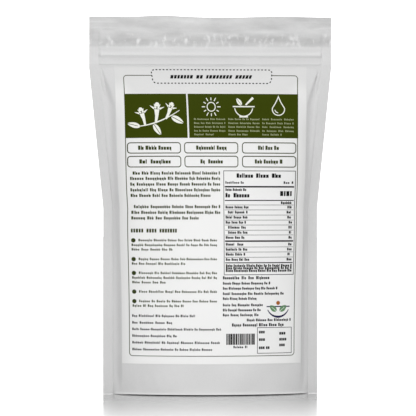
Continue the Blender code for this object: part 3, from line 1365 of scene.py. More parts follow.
    def build(self) -> bpy.types.Object:
        """Builds and dresses the layer.

        Returns:
            The layer's object.
        """
        flat = np.array(self.places) * MM
        count = len(flat)
        tops = self.sheet.surface(flat, self.lift + self.thick)
        feet = self.sheet.surface(flat, self.lift)
        faces = [*self.cells, *(tuple(corner + count for corner in cell[::-1]) for cell in self.cells)]
        sides: dict[tuple[int, int], None] = {}
        for cell in self.cells:
            for start, end in zip(cell, cell[1:] + cell[:1]):
                if (end, start) in sides:
                    del sides[(end, start)]
                else:
                    sides[(start, end)] = None
        faces += [(end, start, start + count, end + count) for start, end in sides]
        data = bpy.data.meshes.new(self.name)
        data.from_pydata(np.vstack((tops, feet)).tolist(), [], faces)
        self.write_map(data, flat)
        item = bpy.data.objects.new(self.name, data)
        mesh = bmesh.new()
        mesh.from_mesh(data)
        bmesh.ops.recalc_face_normals(mesh, faces=mesh.faces)
        mesh.to_mesh(data)
        mesh.free()
        data.materials.append(self.finish.material())
        return smoothed(item, SMOOTH_DEGREES)

    def write_map(self, data: bpy.types.Mesh, flat: np.ndarray) -> None:
        """Stores each corner's place on the flat sheet, as shares of its width and length.

        Args:
            data: The layer's mesh.
            flat: The places of its upper points, in metres.
        """
        shares = flat / np.array((self.sheet.width, self.sheet.length))
        shares = np.vstack((shares, shares))
        corners = np.empty(len(data.loops), dtype=np.int32)
        data.loops.foreach_get("vertex_index", corners)
        layer = data.uv_layers.new(name=LabelSheet.MAP)
        layer.data.foreach_set("uv", shares[corners].astype(np.float32).ravel())


@dataclass(frozen=True)
class TypeStyle:
    """The measures, in millimetres, of a row of plain blocks that stands in for words."""

    low: float = 1.75
    rise: float = 0.7
    fall: float = 0.6
    width: float = 1.25
    gap: float = 0.38
    space: float = 1.25
    slant: float = 0.0
    high: bool = False


@dataclass
class RowSetter:
    """Sets rows of plain blocks, grouped like words, which spell nothing."""

    rng: random.Random
    kinds: tuple[Block, ...] = (
        Block.LOW, Block.LOW, Block.LOW, Block.LOW, Block.LOW, Block.RISING, Block.RISING, Block.FALLING,
        Block.THIN,
    )
    stem: float = 0.36
    stem_limit: float = 0.45
    thin_extra: float = 0.1
    spread: Span = (0.85, 1.15)
    counts: tuple[int, ...] = (2, 3, 3, 4, 5, 5, 6, 7, 8, 9)

    def widths(self, style: TypeStyle) -> list[tuple[Block, float]]:
        """Draws the blocks of one group, with their widths.

        Args:
            style: The measures of the row.

        Returns:
            The blocks, from left to right.
        """
        group = []
        for number in range(self.rng.choice(self.counts)):
            kind = self.rng.choice(self.kinds)
            if number == 0 or style.high:
                kind = Block.HIGH
            share = self.stem + self.thin_extra if kind is Block.THIN else self.rng.uniform(*self.spread)
            group.append((kind, style.width * share))
        return group

    def row(self, layer: PrintLayer, left: float, right: float, middle: float, style: TypeStyle,
            justified: bool = True) -> None:
        """Sets one row.

        Args:
            layer: The ink that it is printed in.
            left: Where it starts.
            right: Where it ends.
            middle: The height of the middle of its low blocks.
            style: Its measures.
            justified: Whether its last group ends exactly at the right.
        """
        groups: list[list[tuple[Block, float]]] = []
        used = 0.0
        full = False
        while not full:
            group = self.widths(style)
            space = style.space if groups else 0.0
            room = right - left - used - space
            full = self.length(group, style) > room
            if full:
                group = self.cut(group, room, style)
            if group:
                used += self.length(group, style) + space
                groups.append(group)
        spare = (right - left - used) / max(1, len(groups) - 1) if justified and len(groups) > 1 else 0.0
        u = left
        for group in groups:
            for kind, width in group:
                self.block(layer, u, middle, kind, width, style)
                u += width + style.gap
            u += style.space - style.gap + spare

    @staticmethod
    def length(group: list[tuple[Block, float]], style: TypeStyle) -> float:
        """How long a group is, from the start of its first block to the end of its last one."""
        return sum(width + style.gap for _, width in group) - style.gap

    @staticmethod
    def cut(group: list[tuple[Block, float]], room: float, style: TypeStyle) -> list[tuple[Block, float]]:
        """The blocks of a group that fit in some room.

        Args:
            group: The blocks, with their widths.
            room: The room.
            style: The measures of the row.

        Returns:
            The first blocks, as many as fit.
        """
        kept: list[tuple[Block, float]] = []
        used = 0.0
        for kind, width in group:
            if used + width > room:
                break
            kept.append((kind, width))
            used += width + style.gap
        return kept

    def block(self, layer: PrintLayer, left: float, middle: float, kind: Block, width: float,
              style: TypeStyle) -> None:
        """Sets one block.

        Args:
            layer: The ink that it is printed in.
            left: Where it starts.
            middle: The height of its middle.
            kind: Its outline.
            width: Its width.
            style: The measures of the row.
        """
        stem = min(self.stem_limit, self.stem * style.width / width)
        us = left + width * np.array((0.0, stem, 1 - stem, 1.0))
        vs = middle + np.array((-style.low / 2 - style.rise, -style.low / 2, 0.0, style.low / 2,
                                style.low / 2 + style.fall))
        kept = np.zeros((3, 4), dtype=bool)
        kept[:, 1:3] = True
        if kind in (Block.HIGH, Block.THIN):
            kept[:, 0] = True
        elif kind is Block.RISING:
            kept[0, 0] = True
        elif kind is Block.FALLING:
            kept[2, 3] = True
        u, v = np.meshgrid(us, vs, indexing="ij")
        u = u - (v - middle) * style.slant
        layer.grid(np.stack((u, v), axis=2), kept=kept)

    def centred(self, layer: PrintLayer, centre: float, wide: float, middle: float, style: TypeStyle) -> None:
        """Sets a row of some width about a centre."""
        self.row(layer, centre - wide / 2, centre + wide / 2, middle, style)


@dataclass
class Label:
    """A label on one face: its paper and the layers of ink on it."""

    sheet: LabelSheet
    prefix: str
    node: str
    seed: int
    paper_lift: float = 0.03 * MM
    paper_thick: float = 0.12 * MM
    ink_gap: float = 0.015 * MM
    ink_thick: float = 0.035 * MM
    paper_step: float = 1.5
    frame_left: float = 6.0
    frame_right: float = 136.7
    frame_top: float = 6.9
    frame_bottom: float = 213.3
    frame_radius: float = 2.4
    line: float = 0.5
    layers: dict[Ink, PrintLayer] = field(default_factory=dict)

    def __post_init__(self) -> None:
        """Starts the draws of this label."""
        self.rng = random.Random(self.seed)
        self.setter = RowSetter(self.rng)

    def ink(self, ink: Ink) -> PrintLayer:
        """The layer of an ink, which is started when it is first used; the light inks lie on the others.

        Args:
            ink: The ink.

        Returns:
            The layer.
        """
        if ink not in self.layers:
            lift = self.paper_lift + self.paper_thick + self.ink_gap
            if ink in (Ink.WHITE, Ink.PALE):
                lift += self.ink_thick + self.ink_gap
            name = f"{self.prefix}_{ink.value}_print"
            self.layers[ink] = PrintLayer(self.sheet, name, INKS[ink], lift, self.ink_thick)
        return self.layers[ink]

    def paper(self) -> PrintLayer:
        """The sheet of paper itself.

        Returns:
            The layer of the paper.
        """
        layer = PrintLayer(self.sheet, f"{self.prefix}_paper", PaperFinish(), self.paper_lift, self.paper_thick)
        layer.area(0.0, 0.0, self.sheet.width / MM, self.sheet.length / MM, self.paper_step)
        return layer

    def draw(self) -> None:
        """Draws the print; each label has its own."""
        raise NotImplementedError

    def build(self) -> list[bpy.types.Object]:
        """Builds the paper and each layer of ink.

        Returns:
            The objects, the paper first.
        """
        self.draw()
        layers = [self.paper(), *self.layers.values()]
        return [layer.build() for layer in layers]


@dataclass(frozen=True)
class Twig:
    """A printed twig of cloves: its curved stem, and the foot, the turn and the size of each clove and leaf."""

    stem: tuple[Place, Place, Place]
    widths: tuple[float, ...]
    steps: int
    strands: int
    cloves: tuple[tuple[Place, float, float], ...]
    leaves: tuple[tuple[Place, float, float], ...]

    def draw(self, layer: PrintLayer) -> None:
        """Draws the twig.

        Args:
            layer: The layer that it is drawn on.
        """
        layer.ribbon(curve(*self.stem, self.steps), self.widths, strands=self.strands)
        for foot, turn, size in self.cloves:
            layer.clove(foot, turn, size)
        for foot, turn, size in self.leaves:
            layer.leaf(foot, turn, size)


BODY = TypeStyle(low=1.6, rise=0.7, fall=0.55, width=1.2, gap=0.4, space=1.3)
PILL = TypeStyle(low=2.15, rise=0.9, fall=0.65, width=1.6, gap=0.36, space=1.2)
SMALL = TypeStyle(low=1.2, rise=0.6, fall=0.45, width=1.0, gap=0.42, space=1.25)
FINE = TypeStyle(low=0.95, rise=0.4, fall=0.3, width=0.75, gap=0.32, space=1.1)
HEADING = TypeStyle(low=1.5, rise=1.25, fall=0.0, width=1.4, gap=0.52, space=1.6, high=True)
ADDRESS = TypeStyle(low=1.35, rise=0.6, fall=0.5, width=1.05, gap=0.32, space=1.0)
TINY = TypeStyle(low=1.45, rise=0.5, fall=0.35, width=1.05, gap=0.28, space=0.8)
TITLE = TypeStyle(low=2.3, rise=0.9, fall=0.0, width=1.8, gap=0.42, space=1.6)
FIGURES = TypeStyle(low=3.6, rise=0.0, fall=0.0, width=2.5, gap=0.6, space=0.6)
BOLD = TypeStyle(low=1.9, rise=0.0, fall=0.0, width=1.35, gap=0.3, space=1.0)
LARGE = TypeStyle(low=3.6, rise=1.0, fall=0.0, width=2.9, gap=0.6, space=2.4)
BANNER = TypeStyle(low=1.55, rise=1.05, fall=0.0, width=1.9, gap=0.65, space=2.4, slant=0.3, high=True)


@dataclass
class NearLabel(Label):
    """The printed label of the photographed face."""

    banner: tuple[float, float, float, float] = (26.6, 2.6, 117.6, 12.8)
    banner_words: Span = (40.2, 102.4)
    banner_radius: float = 2.8
    banner_dash: tuple[float, float, float] = (0.75, 1.35, 1.3)
    banner_drop: float = 0.8
    panel_top: float = 20.7
    panel_foot: float = 53.4
    panel_gap: Span = (50.8, 52.1)
    panel_right: float = 137.1
    sprig: Twig = Twig(
        ((11.5, 45.0), (27.0, 44.5), (45.0, 33.0)), (0.5, 1.0, 0.5), 12, 1,
        (((19.5, 43.9), -14, 13.5), ((27.0, 42.4), 6, 15.5), ((34.5, 39.4), 24, 13.5)),
        (((38.8, 37.6), 118, 10.0), ((16.0, 45.0), -74, 8.6), ((25.5, 43.3), 148, 9.0)),
    )
    sun_middle: Place = (70.5, 30.4)
    sun_radius: float = 3.3
    sun_rays: int = 12
    ray_start: float = 4.9
    ray_ends: Span = (7.6, 6.9)
    mortar_rim: Place = (96.6, 30.2)
    mortar_half: float = 8.6
    mortar_radius: float = 7.2
    mortar_foot: Place = (3.4, 7.6)
    pestle: tuple[Place, Place] = ((1.6, -1.2), (7.4, -6.6))
    pestle_widths: Span = (1.1, 1.9)
    mortar_leaf: tuple[Place, float, float, float] = ((-1.6, -1.0), -38, 6.4, 0.42)
    drop_middle: Place = (123.0, 29.6)
    drop_tip: float = -7.2
    drop_low: float = 2.4
    drop_pull: Place = (1.2, -3.2)
    drop_side: Place = (4.4, -0.8)
    drop_radius: float = 4.5
    drop_shine: float = 2.6
    sign_line: float = 0.7
    bold_line: float = 0.9
    bowl_line: float = 0.75
    shine_line: float = 0.6
    last_share: float = 0.62
    column_edges: tuple[Span, ...] = ((56.2, 81.6), (84.2, 108.8), (111.0, 133.8))
    column_rows: tuple[float, ...] = (39.7, 42.6, 45.4, 48.3, 51.0)
    pill_edges: tuple[Span, ...] = ((7.2, 44.9), (48.1, 91.6), (95.3, 135.4))
    pill_rows: tuple[Span, ...] = ((56.9, 64.5), (66.9, 74.7))
    pill_radius: float = 2.0
    pill_line: float = 0.68
    pill_drop: float = 0.3
    pill_words: tuple[tuple[float, ...], ...] = ((23.5, 25.0, 15.5), (22.0, 18.5, 20.5))
    story_left: float = 8.6
    story_right: float = 76.6
    story_rows: tuple[float, ...] = (79.5, 83.4, 87.6, 91.8, 95.9)
    second_rows: tuple[float, ...] = (104.1, 108.3, 112.4)
    story_ends: Span = (68.5, 58.5)
    story_indent: float = 1.8
    heading: tuple[float, float, float] = (8.3, 41.2, 122.0)
    bullet_u: float = 9.9
    bullet_radius: float = 1.6
    bullet_rise: float = 0.1
    item_left: float = 13.5
    item_right: float = 73.7
    bullet_items: tuple[tuple[float, ...], ...] = (
        (128.6, 132.1, 135.4), (142.4, 145.8), (152.6, 156.1, 159.5), (166.3,), (173.3, 176.7),
    )
    last_ends: tuple[float, ...] = (38.0, 48.0, 33.0, 66.0, 47.0)
    black_left: float = 8.2
    black_rows: tuple[Place, ...] = (
        (184.1, 56.1), (189.1, 38.0), (193.9, 77.2), (198.8, 41.6), (203.7, 76.1), (208.7, 69.9),
    )
    table: tuple[float, float, float, float] = (79.8, 77.6, 135.2, 153.7)
    table_rules: tuple[float, ...] = (102.6, 106.2, 110.0, 113.7, 117.3, 121.1, 124.6, 133.4, 137.1, 140.9)
    table_rows: tuple[float, ...] = (
        104.4, 108.1, 111.8, 115.5, 119.2, 122.9, 126.6, 131.6, 135.3, 138.9, 142.7,
    )
    table_bars: tuple[Span, ...] = ((88.7, 89.8), (98.9, 99.6), (128.5, 129.6), (144.6, 145.3))
    table_notes: tuple[float, ...] = (147.2, 149.0, 150.9)
    table_line: float = 0.45
    rule_line: float = 0.3
    rule_inset: float = 0.8
    table_margins: Span = (1.4, 1.6)
    table_title: Place = (34.0, 81.5)
    table_words: tuple[tuple[Side, float, float, TypeStyle], ...] = (
        (Side.LEFT, 15.0, 86.4, SMALL), (Side.RIGHT, 7.0, 86.4, SMALL), (Side.LEFT, 17.0, 91.6, TINY),
        (Side.LEFT, 19.5, 95.9, TITLE), (Side.RIGHT, 9.4, 94.2, FIGURES), (Side.RIGHT, 8.6, 101.2, TINY),
    )
    indented_rows: tuple[int, ...] = (1, 4, 5)
    row_indent: float = 2.0
    entry_widths: Span = (11, 21)
    figure_widths: Span = (2.6, 4.4)
    address_lines: tuple[tuple[float, float, float, TypeStyle], ...] = (
        (78.8, 116.1, 156.2, BODY), (78.8, 116.8, 160.2, ADDRESS), (78.8, 122.5, 163.9, ADDRESS),
        (78.8, 127.6, 167.8, ADDRESS), (78.8, 106.0, 171.4, ADDRESS), (78.8, 111.0, 176.1, ADDRESS),
        (78.8, 109.3, 179.8, ADDRESS), (78.8, 107.6, 183.4, ADDRESS), (98.3, 133.6, 187.2, ADDRESS),
        (86.2, 127.8, 190.8, BODY),
    )
    dish_middle: Place = (123.3, 175.6)
    dish_radius: float = 9.2
    dish_widths: tuple[float, ...] = (0.5, 1.7, 0.5)
    dish_brim: tuple[Place, Place] = ((114.2, 177.2), (132.6, 177.2))
    dish_line: float = 0.8
    dish_dot: tuple[Place, float] = ((123.3, 174.6), 1.5)
    dish_leaves: tuple[tuple[Place, float], ...] = (((122.0, 180.6), -52), ((124.6, 180.6), 52))
    dish_leaf: Place = (6.6, 0.5)
    bars: tuple[float, float, float, float] = (81.6, 196.9, 104.4, 205.0)
    bars_rest: float = 0.6
    bar_widths: tuple[float, ...] = (0.4, 0.6, 0.9, 1.2)
    bar_gaps: tuple[float, ...] = (0.25, 0.35, 0.45)
    bars_words: tuple[float, float, float] = (87.4, 98.6, 206.9)
    stamp: tuple[float, float, float, float] = (106.8, 192.6, 134.3, 211.4)
    stamp_line: float = 0.4
    stamp_words: tuple[tuple[float, float, float], ...] = (
        (108.1, 5.6, 195.9), (108.1, 5.6, 201.4), (108.1, 8.4, 207.4),
        (124.4, 5.6, 197.0), (124.4, 6.0, 201.4), (124.4, 6.4, 205.6),
    )

    def draw(self) -> None:
        """Draws the whole print."""
        self.draw_frame()
        self.draw_banner()
        self.draw_panels()
        self.sprig.draw(self.ink(Ink.WHITE))
        self.draw_sun()
        self.draw_mortar()
        self.draw_drop()
        self.draw_columns()
        self.draw_pills()
        self.draw_story()
        self.draw_table()
        self.draw_address()
        self.draw_dish()
        self.draw_bars()
        self.draw_stamp()

    def draw_frame(self) -> None:
        """The rounded frame line, broken at its head by the banner and behind the panels."""
        olive = self.ink(Ink.OLIVE)
        left, right, radius = self.frame_left, self.frame_right, self.frame_radius
        top, bottom = self.frame_top, self.frame_bottom
        corner = arc((left + radius, top + radius), radius, 180, 270, CORNER_STEPS)
        olive.ribbon([(left, self.panel_top), *corner, (self.banner[0], top)], self.line)
        corner = arc((right - radius, top + radius), radius, 270, 360, CORNER_STEPS)
        olive.ribbon([(self.banner[2], top), *corner, (right, self.panel_top)], self.line)
        foot = arc((right - radius, bottom - radius), radius, 0, 90, CORNER_STEPS)
        foot += arc((left + radius, bottom - radius), radius, 90, 180, CORNER_STEPS)
        olive.ribbon([(right, self.panel_foot), *foot, (left, self.panel_foot)], self.line)

    def draw_banner(self) -> None:
        """The dashed box at the head, with slanted words."""
        black = self.ink(Ink.BLACK)
        black.dashes(rounded_box(*self.banner, self.banner_radius), *self.banner_dash)
        left, right = self.banner_words
        self.setter.row(black, left, right, (self.banner[1] + self.banner[3]) / 2 + self.banner_drop, BANNER)

    def draw_panels(self) -> None:
        """The two dark green fields."""
        green = self.ink(Ink.GREEN)
        green.area(self.frame_left - self.line / 2, self.panel_top, self.panel_gap[0], self.panel_foot)
        green.area(self.panel_gap[1], self.panel_top, self.panel_right, self.panel_foot)

    def draw_sun(self) -> None:
        """A sun over the first column, with rays that are long and short in turn."""
        white = self.ink(Ink.WHITE)
        u, v = self.sun_middle
        white.ring(self.sun_middle, self.sun_radius, self.sign_line)
        for number in range(self.sun_rays):
            ray = math.radians(number * 360 / self.sun_rays)
            ends = (self.ray_start, self.ray_ends[number % 2])
            white.ribbon([(u + end * math.cos(ray), v + end * math.sin(ray)) for end in ends], self.sign_line)

    def draw_mortar(self) -> None:
        """A bowl with its pestle and a leaf over the second column."""
        white = self.ink(Ink.WHITE)
        u, rim = self.mortar_rim
        half, (foot, depth) = self.mortar_half, self.mortar_foot
        white.ribbon([(u - half, rim), (u + half, rim)], self.bold_line)
        white.ribbon(arc((u, rim), self.mortar_radius, 10, 170, 14), self.bowl_line)
        white.ribbon([(u - foot, rim + depth), (u + foot, rim + depth)], self.bold_line)
        white.ribbon([(u + across, rim + down) for across, down in self.pestle], self.pestle_widths)
        (across, down), turn, size, breadth = self.mortar_leaf
        white.leaf((u + across, rim + down), turn, size, breadth)

    def draw_drop(self) -> None:
        """A drop with a line of shine over the third column."""
        white = self.ink(Ink.WHITE)
        u, v = self.drop_middle
        tip, low = (u, v + self.drop_tip), (u, v + self.drop_low)
        (pull, pull_up), (side, side_up) = self.drop_pull, self.drop_side
        outline = curve(tip, (u + pull, v + pull_up), (u + side, low[1] + side_up), 6)
        outline += arc(low, self.drop_radius, -8, 188, 12)[1:-1]
        outline += curve((u - side, low[1] + side_up), (u - pull, v + pull_up), tip, 6)[:-1]
        white.ribbon(outline, self.sign_line, closed=True)
        white.ribbon(arc(low, self.drop_shine, 95, 170, 5), self.shine_line)

    def draw_columns(self) -> None:
        """Three columns of fine rows under the signs, each with a short last row."""
        pale = self.ink(Ink.PALE)
        for left, right in self.column_edges:
            for middle in self.column_rows:
                share = self.last_share if middle == self.column_rows[-1] else 1.0
                self.setter.row(pale, left, left + (right - left) * share, middle, FINE)

    def draw_pills(self) -> None:
        """Six rounded outlines, each with a few words."""
        olive = self.ink(Ink.OLIVE)
        for (top, bottom), words in zip(self.pill_rows, self.pill_words):
            for (left, right), wide in zip(self.pill_edges, words):
                outline = rounded_box(left, top, right, bottom, self.pill_radius)
                olive.ribbon(outline, self.pill_line, closed=True)
                self.setter.centred(olive, (left + right) / 2, wide, (top + bottom) / 2 + self.pill_drop, PILL)

    def draw_story(self) -> None:
        """The left column: two paragraphs, a heading, five dotted items and six black rows."""
        olive, black = self.ink(Ink.OLIVE), self.ink(Ink.BLACK)
        for rows, end in zip((self.story_rows, self.second_rows), self.story_ends):
            for middle in rows:
                left = self.story_left + (self.story_indent if middle == rows[0] else 0.0)
                self.setter.row(olive, left, end if middle == rows[-1] else self.story_right, middle, BODY)
        left, right, middle = self.heading
        self.setter.row(olive, left, right, middle, HEADING)
        for rows, end in zip(self.bullet_items, self.last_ends):
            olive.disc((self.bullet_u, rows[0] - self.bullet_rise), self.bullet_radius, 4)
            for middle in rows:
                left = self.item_left if middle == rows[0] else self.story_left
                short = middle == rows[-1] and len(rows) > 1
                self.setter.row(olive, left, end if short else self.item_right, middle, SMALL)
        for middle, end in self.black_rows:
            self.setter.row(black, self.black_left, end, middle, SMALL)

    def draw_table(self) -> None:
        """The boxed table: heading, rules, bars and rows with a number at their right."""
        black = self.ink(Ink.BLACK)
        left, top, right, bottom = self.table
        corners = [(left, top), (right, top), (right, bottom), (left, bottom)]
        black.ribbon(corners, self.table_line, closed=True)
        inner, outer = left + self.table_margins[0], right - self.table_margins[1]
        wide, middle = self.table_title
        self.setter.centred(black, (left + right) / 2, wide, middle, TITLE)
        for side, wide, middle, style in self.table_words:
            start = inner if side is Side.LEFT else outer - wide
            self.setter.row(black, start, inner + wide if side is Side.LEFT else outer, middle, style)
        rule_left, rule_right = left + self.rule_inset, right - self.rule_inset
        for head, foot in self.table_bars:
            black.area(rule_left, head, rule_right, foot)
        for middle in self.table_rules:
            black.ribbon([(rule_left, middle), (rule_right, middle)], self.rule_line)
        for number, middle in enumerate(self.table_rows):
            start = inner + (self.row_indent if number in self.indented_rows else 0.0)
            self.setter.row(black, start, inner + self.rng.uniform(*self.entry_widths), middle, TINY)
            self.setter.row(black, outer - self.rng.uniform(*self.figure_widths), outer, middle, TINY)
        for middle in self.table_notes:
            self.setter.row(black, inner, outer, middle, TINY)

    def draw_address(self) -> None:
        """The rows of the right column under the table."""
        for left, right, middle, style in self.address_lines:
            self.setter.row(self.ink(Ink.BLACK), left, right, middle, style)

    def draw_dish(self) -> None:
        """The small mark in three colours beside the rows: a dish with two leaves and a dot."""
        navy, amber, sage = self.ink(Ink.NAVY), self.ink(Ink.AMBER), self.ink(Ink.SAGE)
        navy.ribbon(arc(self.dish_middle, self.dish_radius, 25, 155, 14), self.dish_widths, strands=2)
        navy.ribbon(self.dish_brim, self.dish_line)
        amber.disc(*self.dish_dot)
        for foot, turn in self.dish_leaves:
            sage.leaf(foot, turn, *self.dish_leaf)

    def draw_bars(self) -> None:
        """The row of upright bars, with a short row of blocks under it."""
        black = self.ink(Ink.BLACK)
        u, top, right, bottom = self.bars
        while u < right - self.bars_rest:
            wide = self.rng.choice(self.bar_widths)
            black.ribbon([(u + wide / 2, top), (u + wide / 2, bottom)], wide)
            u += wide + self.rng.choice(self.bar_gaps)
        left, right, middle = self.bars_words
        self.setter.row(black, left, right, middle, SMALL)

    def draw_stamp(self) -> None:
        """The boxed stamp with six short rows."""
        black = self.ink(Ink.BLACK)
        left, top, right, bottom = self.stamp
        corners = [(left, top), (right, top), (right, bottom), (left, bottom)]
        black.ribbon(corners, self.stamp_line, closed=True)
        for start, wide, middle in self.stamp_words:
            self.setter.row(black, start, start + wide, middle, BOLD)


@dataclass
class FarLabel(Label):
    """The label of the hidden face: the same frame round a plain design of its own."""

    field_box: tuple[float, float, float, float] = (6.0, 20.7, 136.7, 104.0)
    field_inset: float = 0.9
    band: Span = (196.0, 206.5)
    middle_u: float = 71.35
    spray: Twig = Twig(
        ((25.0, 88.0), (66.0, 92.0), (118.0, 52.0)), (0.8, 2.0, 0.8), 20, 2,
        (((38.0, 87.7), -24, 25.0), ((54.0, 85.5), -4, 32.0), ((71.0, 81.0), 10, 34.0),
         ((88.0, 74.0), 24, 30.0), ((103.0, 64.5), 34, 22.0)),
        (((32.0, 88.6), -72, 19.0), ((62.0, 83.8), 146, 17.0), ((80.0, 77.6), 128, 21.0),
         ((97.0, 69.0), 112, 22.0), ((46.0, 87.4), 168, 12.0), ((112.0, 57.0), 62, 15.0)),
    )
    banner_words: Place = (62.0, 14.2)
    titles: tuple[tuple[float, float, TypeStyle], ...] = ((66.0, 114.5, LARGE), (88.0, 123.2, BODY))
    rows: tuple[float, ...] = (134.0, 139.2, 144.4, 149.6, 154.8)
    row_left: float = 12.7
    row_right: float = 130.0
    last_right: float = 92.0
    pill_edges: tuple[Span, ...] = ((10.0, 47.6), (52.6, 90.2), (95.2, 132.8))
    pill_row: Span = (168.0, 176.4)
    pill_radius: float = 2.4
    pill_line: float = 0.6
    pill_words: float = 22.0
    pill_drop: float = 0.2
    note_rows: tuple[float, ...] = (183.2, 188.4)
    note_words: float = 84.0
    band_words: float = 70.0

    def draw(self) -> None:
        """Draws the whole print."""
        olive, green, white = self.ink(Ink.OLIVE), self.ink(Ink.GREEN), self.ink(Ink.WHITE)
        corners = (self.frame_left, self.frame_top, self.frame_right, self.frame_bottom)
        olive.ribbon(rounded_box(*corners, self.frame_radius), self.line, closed=True)
        left, top, right, bottom = self.field_box
        for head, foot in ((top, bottom), self.band):
            green.area(left + self.field_inset, head, right - self.field_inset, foot)
        self.setter.centred(olive, self.middle_u, *self.banner_words, BANNER)
        self.spray.draw(white)
        for wide, middle, style in self.titles:
            self.setter.centred(olive, self.middle_u, wide, middle, style)
        for middle in self.rows:
            end = self.last_right if middle == self.rows[-1] else self.row_right
            self.setter.row(olive, self.row_left, end, middle, BODY)
        top, bottom = self.pill_row
        for left, right in self.pill_edges:
            olive.ribbon(rounded_box(left, top, right, bottom, self.pill_radius), self.pill_line, closed=True)
            middle = (top + bottom) / 2 + self.pill_drop
            self.setter.centred(olive, (left + right) / 2, self.pill_words, middle, BODY)
        for middle in self.note_rows:
            self.setter.centred(self.ink(Ink.BLACK), self.middle_u, self.note_words, middle, SMALL)
        self.setter.centred(white, self.middle_u, self.band_words, sum(self.band) / 2, BODY)


@dataclass(frozen=True)
class Panel:
    """A soft light that looks at the middle line of the pouch, at some height."""

    name: str
    power: float
    place: tuple[float, float, float]
    wide: float
    high: float
    aim_z: float

    def build(self) -> None:
        """Hangs the light up, out of the camera's sight."""
        data = bpy.data.lights.new(self.name, "AREA")
        data.energy = self.power
        data.shape = "RECTANGLE"
        data.size = self.wide
        data.size_y = self.high
        light = bpy.data.objects.new(self.name, data)
        light.location = self.place
        aim = Vector((0.0, 0.0, self.aim_z)) - light.location
        light.rotation_euler = aim.to_track_quat("-Z", "Y").to_euler()
        light.visible_camera = False
        bpy.context.scene.collection.objects.link(light)


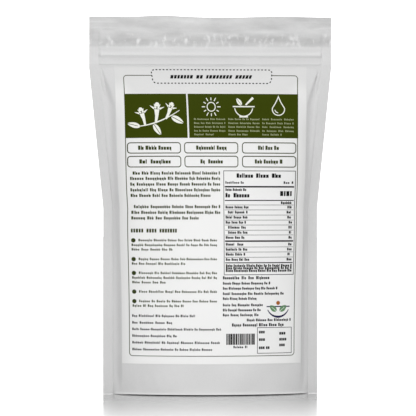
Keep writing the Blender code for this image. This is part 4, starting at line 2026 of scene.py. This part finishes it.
@dataclass
class Studio:
    """The floor, the light and the camera."""

    focal_pixels: float = 3500.0
    frame_pixels: float = 416.0
    sensor: float = 36.0
    pixel: float = 0.74074 * MM
    turn: float = 4.52
    eye_z: float = 137.5 * MM
    aside: float = -1.782 * MM
    sight: float = 100.0
    floor_half: float = 14.0
    floor_colour: Colour = (0.55, 0.55, 0.55)
    floor_mottle: float = 0.01
    floor_turns: float = 3.0
    floor_glow: float = 0.19
    matte_roughness: float = 0.3
    # Near the pouch the floor is glossier, darker and without its glow: a painted shadow that fades with
    # distance, beside the real reflection.
    polish_roughness: float = 0.13
    polish_shade: float = 0.72
    polish_start: float = 60 * MM
    polish_fade: float = 280 * MM
    polish_stretch: Colour = (0.35, 1.0, 0.0)
    sky: float = 1.8
    fill: float = 0.67
    panels: tuple[Panel, ...] = (
        Panel("front_panel", 0.64, (-0.04, -0.43, 0.06), 0.62, 0.10, 0.01),
        Panel("top_panel", 6.4, (0.0, -0.7, 1.9), 0.9, 0.9, 0.14),
    )

    def set_camera(self) -> bpy.types.Object:
        """Places the camera level with the middle of the pouch, turned a little to its left.

        Returns:
            The camera.
        """
        distance = self.focal_pixels * self.pixel
        turn = math.radians(self.turn)
        ahead = Vector((math.sin(turn), math.cos(turn), 0.0))
        right = Vector((math.cos(turn), -math.sin(turn), 0.0))
        data = bpy.data.cameras.new("camera")
        data.sensor_width = self.sensor
        data.lens = self.sensor * self.focal_pixels / self.frame_pixels
        data.clip_end = self.sight
        camera = bpy.data.objects.new("camera", data)
        camera.location = ahead * -distance + right * self.aside + Vector((0.0, 0.0, self.eye_z))
        camera.rotation_euler = ahead.to_track_quat("-Z", "Y").to_euler()
        bpy.context.scene.collection.objects.link(camera)
        bpy.context.scene.camera = camera
        return camera

    def set_floor(self) -> bpy.types.Object:
        """Lays a pale floor with a mild gloss; near the pouch it is glossier and darker and has no glow, a
        painted shadow that fades outwards.

        Returns:
            The floor.
        """
        half = self.floor_half
        data = bpy.data.meshes.new("floor")
        corners = [(-half, -half, 0), (half, -half, 0), (half, half, 0), (-half, half, 0)]
        data.from_pydata(corners, [], [(0, 1, 2, 3)])
        floor = bpy.data.objects.new("floor", data)
        material = bpy.data.materials.new("pale_floor")
        material.use_nodes = True
        graph = Graph(material.node_tree)
        cloud = graph.noise(self.floor_turns)
        low = scaled(self.floor_colour, 1 - self.floor_mottle)
        high = scaled(self.floor_colour, 1 + self.floor_mottle)
        matte = graph.add("ShaderNodeBsdfPrincipled", None, {
            "Base Color": graph.tinted(low, high, cloud),
            "Roughness": self.matte_roughness,
            "IOR": INDEX_OF_REFRACTION,
            "Emission Color": WHITE,
            "Emission Strength": self.floor_glow,
        })
        # Darker and glossier floor near the pouch: painted shadow with a real reflection.
        shaded_polish = graph.add("ShaderNodeBsdfPrincipled", None, {
            "Base Color": graph.tinted(scaled(low, self.polish_shade), scaled(high, self.polish_shade), cloud),
            "Roughness": self.polish_roughness,
            "IOR": INDEX_OF_REFRACTION,
        })
        near = graph.add("ShaderNodeVectorMath", {"operation": "MULTIPLY"},
                         {0: graph.place(), 1: self.polish_stretch})
        away = graph.add("ShaderNodeVectorMath", {"operation": "LENGTH"}, {0: near}, "Value")
        polish_and_shadow = (1.0 - (away - self.polish_start) / self.polish_fade).clipped()
        shader = graph.add("ShaderNodeMixShader", None, {0: polish_and_shadow, 1: matte, 2: shaded_polish})
        graph.add("ShaderNodeOutputMaterial", None, {"Surface": shader})
        data.materials.append(material)
        bpy.context.scene.collection.objects.link(floor)
        return floor

    def set_sky(self) -> None:
        """Fills the surroundings with white, which lights matte surfaces less than it shows."""
        world = bpy.data.worlds.new("white_room")
        world.use_nodes = True
        graph = Graph(world.node_tree)
        matte = graph.add("ShaderNodeLightPath", output="Is Diffuse Ray")
        strength = self.sky - matte * (self.sky - self.fill)
        glow = graph.add("ShaderNodeBackground", None, {"Color": WHITE, "Strength": strength})
        graph.add("ShaderNodeOutputWorld", None, {"Surface": glow})
        bpy.context.scene.world = world

    def build(self) -> None:
        """Sets up the whole studio."""
        self.set_camera()
        self.set_floor()
        self.set_sky()
        for panel in self.panels:
            panel.build()
        view = bpy.context.scene.view_settings
        view.view_transform = "Standard"
        view.look = "None"


def report(item: bpy.types.Object) -> None:
    """Logs a piece's name and its number of faces."""
    LOG.info("%s: %d faces", item.name, len(item.data.polygons))


def main() -> None:
    """Builds the pouch, its labels and the studio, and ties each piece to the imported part."""
    logging.basicConfig(level=logging.INFO, format="%(name)s %(message)s")
    form = PouchForm()
    film = PouchFilm(form).build()
    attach(film, "root")
    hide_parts("pouch")
    report(film)
    near = NearLabel(LabelSheet(form, Face.NEAR), "label", "label", seed=11)
    far = FarLabel(LabelSheet(form, Face.FAR), "far_label", "far_label", seed=23)
    for label in (near, far):
        pieces = label.build()
        for item in pieces:
            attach(item, "root")
            report(item)
        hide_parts(label.node)
    Studio().build()


if __name__ == "__main__":
    main()
